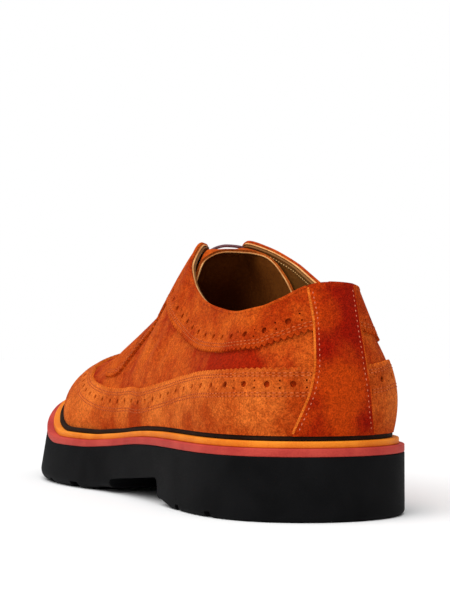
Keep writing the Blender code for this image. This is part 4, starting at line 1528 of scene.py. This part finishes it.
def tongue_arch(station):
    """Even points across the instep under the lacing, outer edge to inner edge."""
    along = along_at(station)
    inside = -WALL - np.interp(station, TONGUE_GAP_ENDS[::-1], TONGUE_GAP[::-1])
    lowest = np.interp(station, TONGUE_WIDENS[::-1], TONGUE_SHARE[::-1])
    shares = [lowest + (1 - lowest) * row for row in TONGUE_ROWS]
    near, far = ([skin(side, along, share, inside) for share in shares] for side in SIDES)
    opening = np.linalg.norm(near[-1] - far[-1])
    rise = column(TONGUE_CROWN, "share", station) * opening
    crown = (near[-1] + far[-1]) / 2 + np.array([0.0, 0.0, rise])
    return resampled(np.array(near + [crown] + far[::-1]), ARCH_POINTS)


ARCH_STATIONS = np.linspace(ARCH_START, TONGUE_FRONT, ARCH_COUNT)
ARCHES = np.stack([tongue_arch(station) for station in ARCH_STATIONS])


def tongue_place(u, v):
    """The top edge follows its table; the arches are read between the stations worked out."""
    top = column(TONGUE_TOP, "station", v)
    place = (top + (TONGUE_FRONT - top) * u - ARCH_START) / (ARCH_STATIONS[1] - ARCH_START)
    before = np.clip(np.floor(place).astype(int), 0, ARCH_COUNT - 2)
    part = (place - before)[:, None]
    across = np.round(v * (ARCH_POINTS - 1)).astype(int)
    return ARCHES[before, across] * (1 - part) + ARCHES[before + 1, across] * part


bm = bmesh.new()
add_sheet(bm, TONGUE_COLUMNS, ARCH_POINTS - 1, tongue_place)
tongue = make_piece(bm, "tongue_sheet", [QUARTER_SUEDE, DEEP_LINING, TONGUE_EDGE], upwards)
thicken(tongue, TONGUE_THICKNESS, False)
settle(tongue, ["tongue"])

# %% Tan line inside the tongue's rim
RIM_RADIUS = 0.32
RIM_STEP = 0.03
across = np.linspace(0.0, 1.0, ARCH_POINTS)
rim = tongue_place(np.zeros(ARCH_POINTS), across)
ahead = tongue_place(np.full(ARCH_POINTS, RIM_STEP), across) - rim
under = np.cross(np.gradient(rim, axis=0), ahead)
under = under / np.linalg.norm(under, axis=1)[:, None]
under = under * -np.sign(under[ARCH_POINTS // 2, 2])
bm = bmesh.new()
tube(bm, rim + under * (TONGUE_THICKNESS - RIM_RADIUS / 2), RIM_RADIUS, CORD_SIDES)
settle(make_piece(bm, "tongue_rim", [CUT_EDGE]), [])

# %% Lace through the eyelets
LACE_RADIUS = 0.7
LACE_POINTS = 61
LACE_SIDES = 10
LACE_OVER = (("share", "height"), (0.92, -1.0), (0.922, 1.2), (0.935, 2.1), (0.97, 2.1), (1.0, 2.0))
LACE_UNDER = (("share", "height"), (0.92, 1.4), (0.922, 0.0), (0.93, -2.8), (0.96, -2.9), (1.0, -2.5))
LACE_CROWN = 1.3


def lace_path(number):
    """From eyelet to eyelet: the top bar comes from under the facings, the others lie over them."""
    along = along_at(EYELET_FIRST + number * EYELET_PITCH)
    route = LACE_OVER if number else LACE_UNDER
    near, far = ([skin(side, along, share, height) for share, height in route[1:]] for side in SIDES)
    crown = (near[-1] + far[-1]) / 2 + np.array([0.0, 0.0, 0.0 if number else LACE_CROWN])
    return resampled(np.array(near + [crown] + far[::-1]), LACE_POINTS)


for number in range(EYELETS):
    bm = bmesh.new()
    tube(bm, lace_path(number), LACE_RADIUS, LACE_SIDES)
    settle(make_piece(bm, f"lace_{number + 1}", [LACE]), [f"lace_bar_{number + 1}"])

# %% [markdown]
# ## Floor, light and camera
# A large pale floor under a white sky, a very soft sun and one large lamp give the even light
# of a studio with a faint shadow. A lit image could stand for the sky, but plain white is closer
# to the photo. The camera stands low behind the outer side of the heel, as far away as a short
# telephoto lens would.

# %% Pale floor
FLOOR_SIZE = 12.0
FLOOR_DARK = (0.90, 0.90, 0.90, 1.0)
FLOOR_LIGHT = (0.93, 0.93, 0.93, 1.0)
FLOOR_CLOUD = 3.0
FLOOR_ROUGHNESS = 0.9
FLOOR_SPECULAR = 0.1


def floor_finish():
    """Matt, nearly white, with wide faint clouds."""
    made = bpy.data.materials.new("pale_floor")
    made.use_nodes = True
    tree = made.node_tree
    shader = tree.nodes["Principled BSDF"]
    place = add(tree, "ShaderNodeTexCoord").outputs["Object"]
    colour = blend(tree, noise(tree, place, FLOOR_CLOUD, 2.0), FLOOR_DARK, FLOOR_LIGHT)
    tree.links.new(colour, shader.inputs["Base Color"])
    shader.inputs["Roughness"].default_value = FLOOR_ROUGHNESS
    shader.inputs["Specular IOR Level"].default_value = FLOOR_SPECULAR
    return made


bm = bmesh.new()
bmesh.ops.create_grid(bm, x_segments=8, y_segments=8, size=FLOOR_SIZE / 2)
floor = make_piece(bm, "pale_floor", [floor_finish()], upwards)
print(f"floor {FLOOR_SIZE:.0f} m wide")

# %% Lamps and sky
SKY_LIGHT = 0.42
LAMPS = (
    ("name", "kind", "spot", "aim", "size", "strength"),
    ("soft_sun", "SUN", (-0.6, 0.8, 2.0), (0.0, 0.0, 0.0), math.radians(70), 2.5),
    ("key_lamp", "AREA", (-0.9, 1.0, 1.0), (0.0, 0.0, 0.05), 1.2, 4.0),
)


def lamp(name, kind, spot, aim, size, strength):
    """A large soft lamp: an area disk, or a sun whose size is an angle."""
    light = bpy.data.lights.new(name, kind)
    light.energy = strength
    if kind == "SUN":
        light.angle = size
    else:
        light.shape = "DISK"
        light.size = size
    body = bpy.data.objects.new(name, light)
    body.location = spot
    body.rotation_mode = "QUATERNION"
    body.rotation_quaternion = (Vector(aim) - Vector(spot)).to_track_quat("-Z", "Y")
    bpy.context.scene.collection.objects.link(body)


for row in LAMPS[1:]:
    lamp(*row)
sky = bpy.data.worlds.new("studio_sky")
sky.use_nodes = True
ground = sky.node_tree.nodes["Background"]
ground.inputs["Color"].default_value = (1.0, 1.0, 1.0, 1.0)
seen = add(sky.node_tree, "ShaderNodeLightPath").outputs["Is Camera Ray"]
sky.node_tree.links.new(spread(sky.node_tree, seen, 0.0, 1.0, SKY_LIGHT, 1.0), ground.inputs["Strength"])
bpy.context.scene.world = sky
bpy.context.scene.view_settings.view_transform = "Standard"
print("lamps:", ", ".join(row[0] for row in LAMPS[1:]))

# %% Camera
IMAGE_HEIGHT = 600
FOCAL_PIXELS = 1655.0
HORIZON_ROW = 345.0
CAMERA_BACK = 604.0
CAMERA_SIDE = 42.4
CAMERA_HEIGHT = 64.7
CAMERA_TURN = math.radians(19.5)
SENSOR = 36.0

ahead = np.array([math.cos(CAMERA_TURN), -math.sin(CAMERA_TURN), 0.0])
across = np.array([-math.sin(CAMERA_TURN), -math.cos(CAMERA_TURN), 0.0])
stand = -CAMERA_BACK * ahead - CAMERA_SIDE * across + np.array([0.0, 0.0, CAMERA_HEIGHT])
pitch = math.atan((HORIZON_ROW - IMAGE_HEIGHT / 2) / FOCAL_PIXELS)
look = Vector(ahead * math.cos(pitch) + np.array([0.0, 0.0, math.sin(pitch)]))
lens = bpy.data.cameras.new("photo_camera")
lens.sensor_width = SENSOR
lens.lens = SENSOR * FOCAL_PIXELS / IMAGE_HEIGHT
lens.clip_start = 0.01
camera = bpy.data.objects.new("photo_camera", lens)
camera.location = to_world(stand)
camera.rotation_mode = "QUATERNION"
camera.rotation_quaternion = look.to_track_quat("-Z", "Y")
bpy.context.scene.collection.objects.link(camera)
bpy.context.scene.camera = camera
print("camera at", [round(one, 3) for one in camera.location])
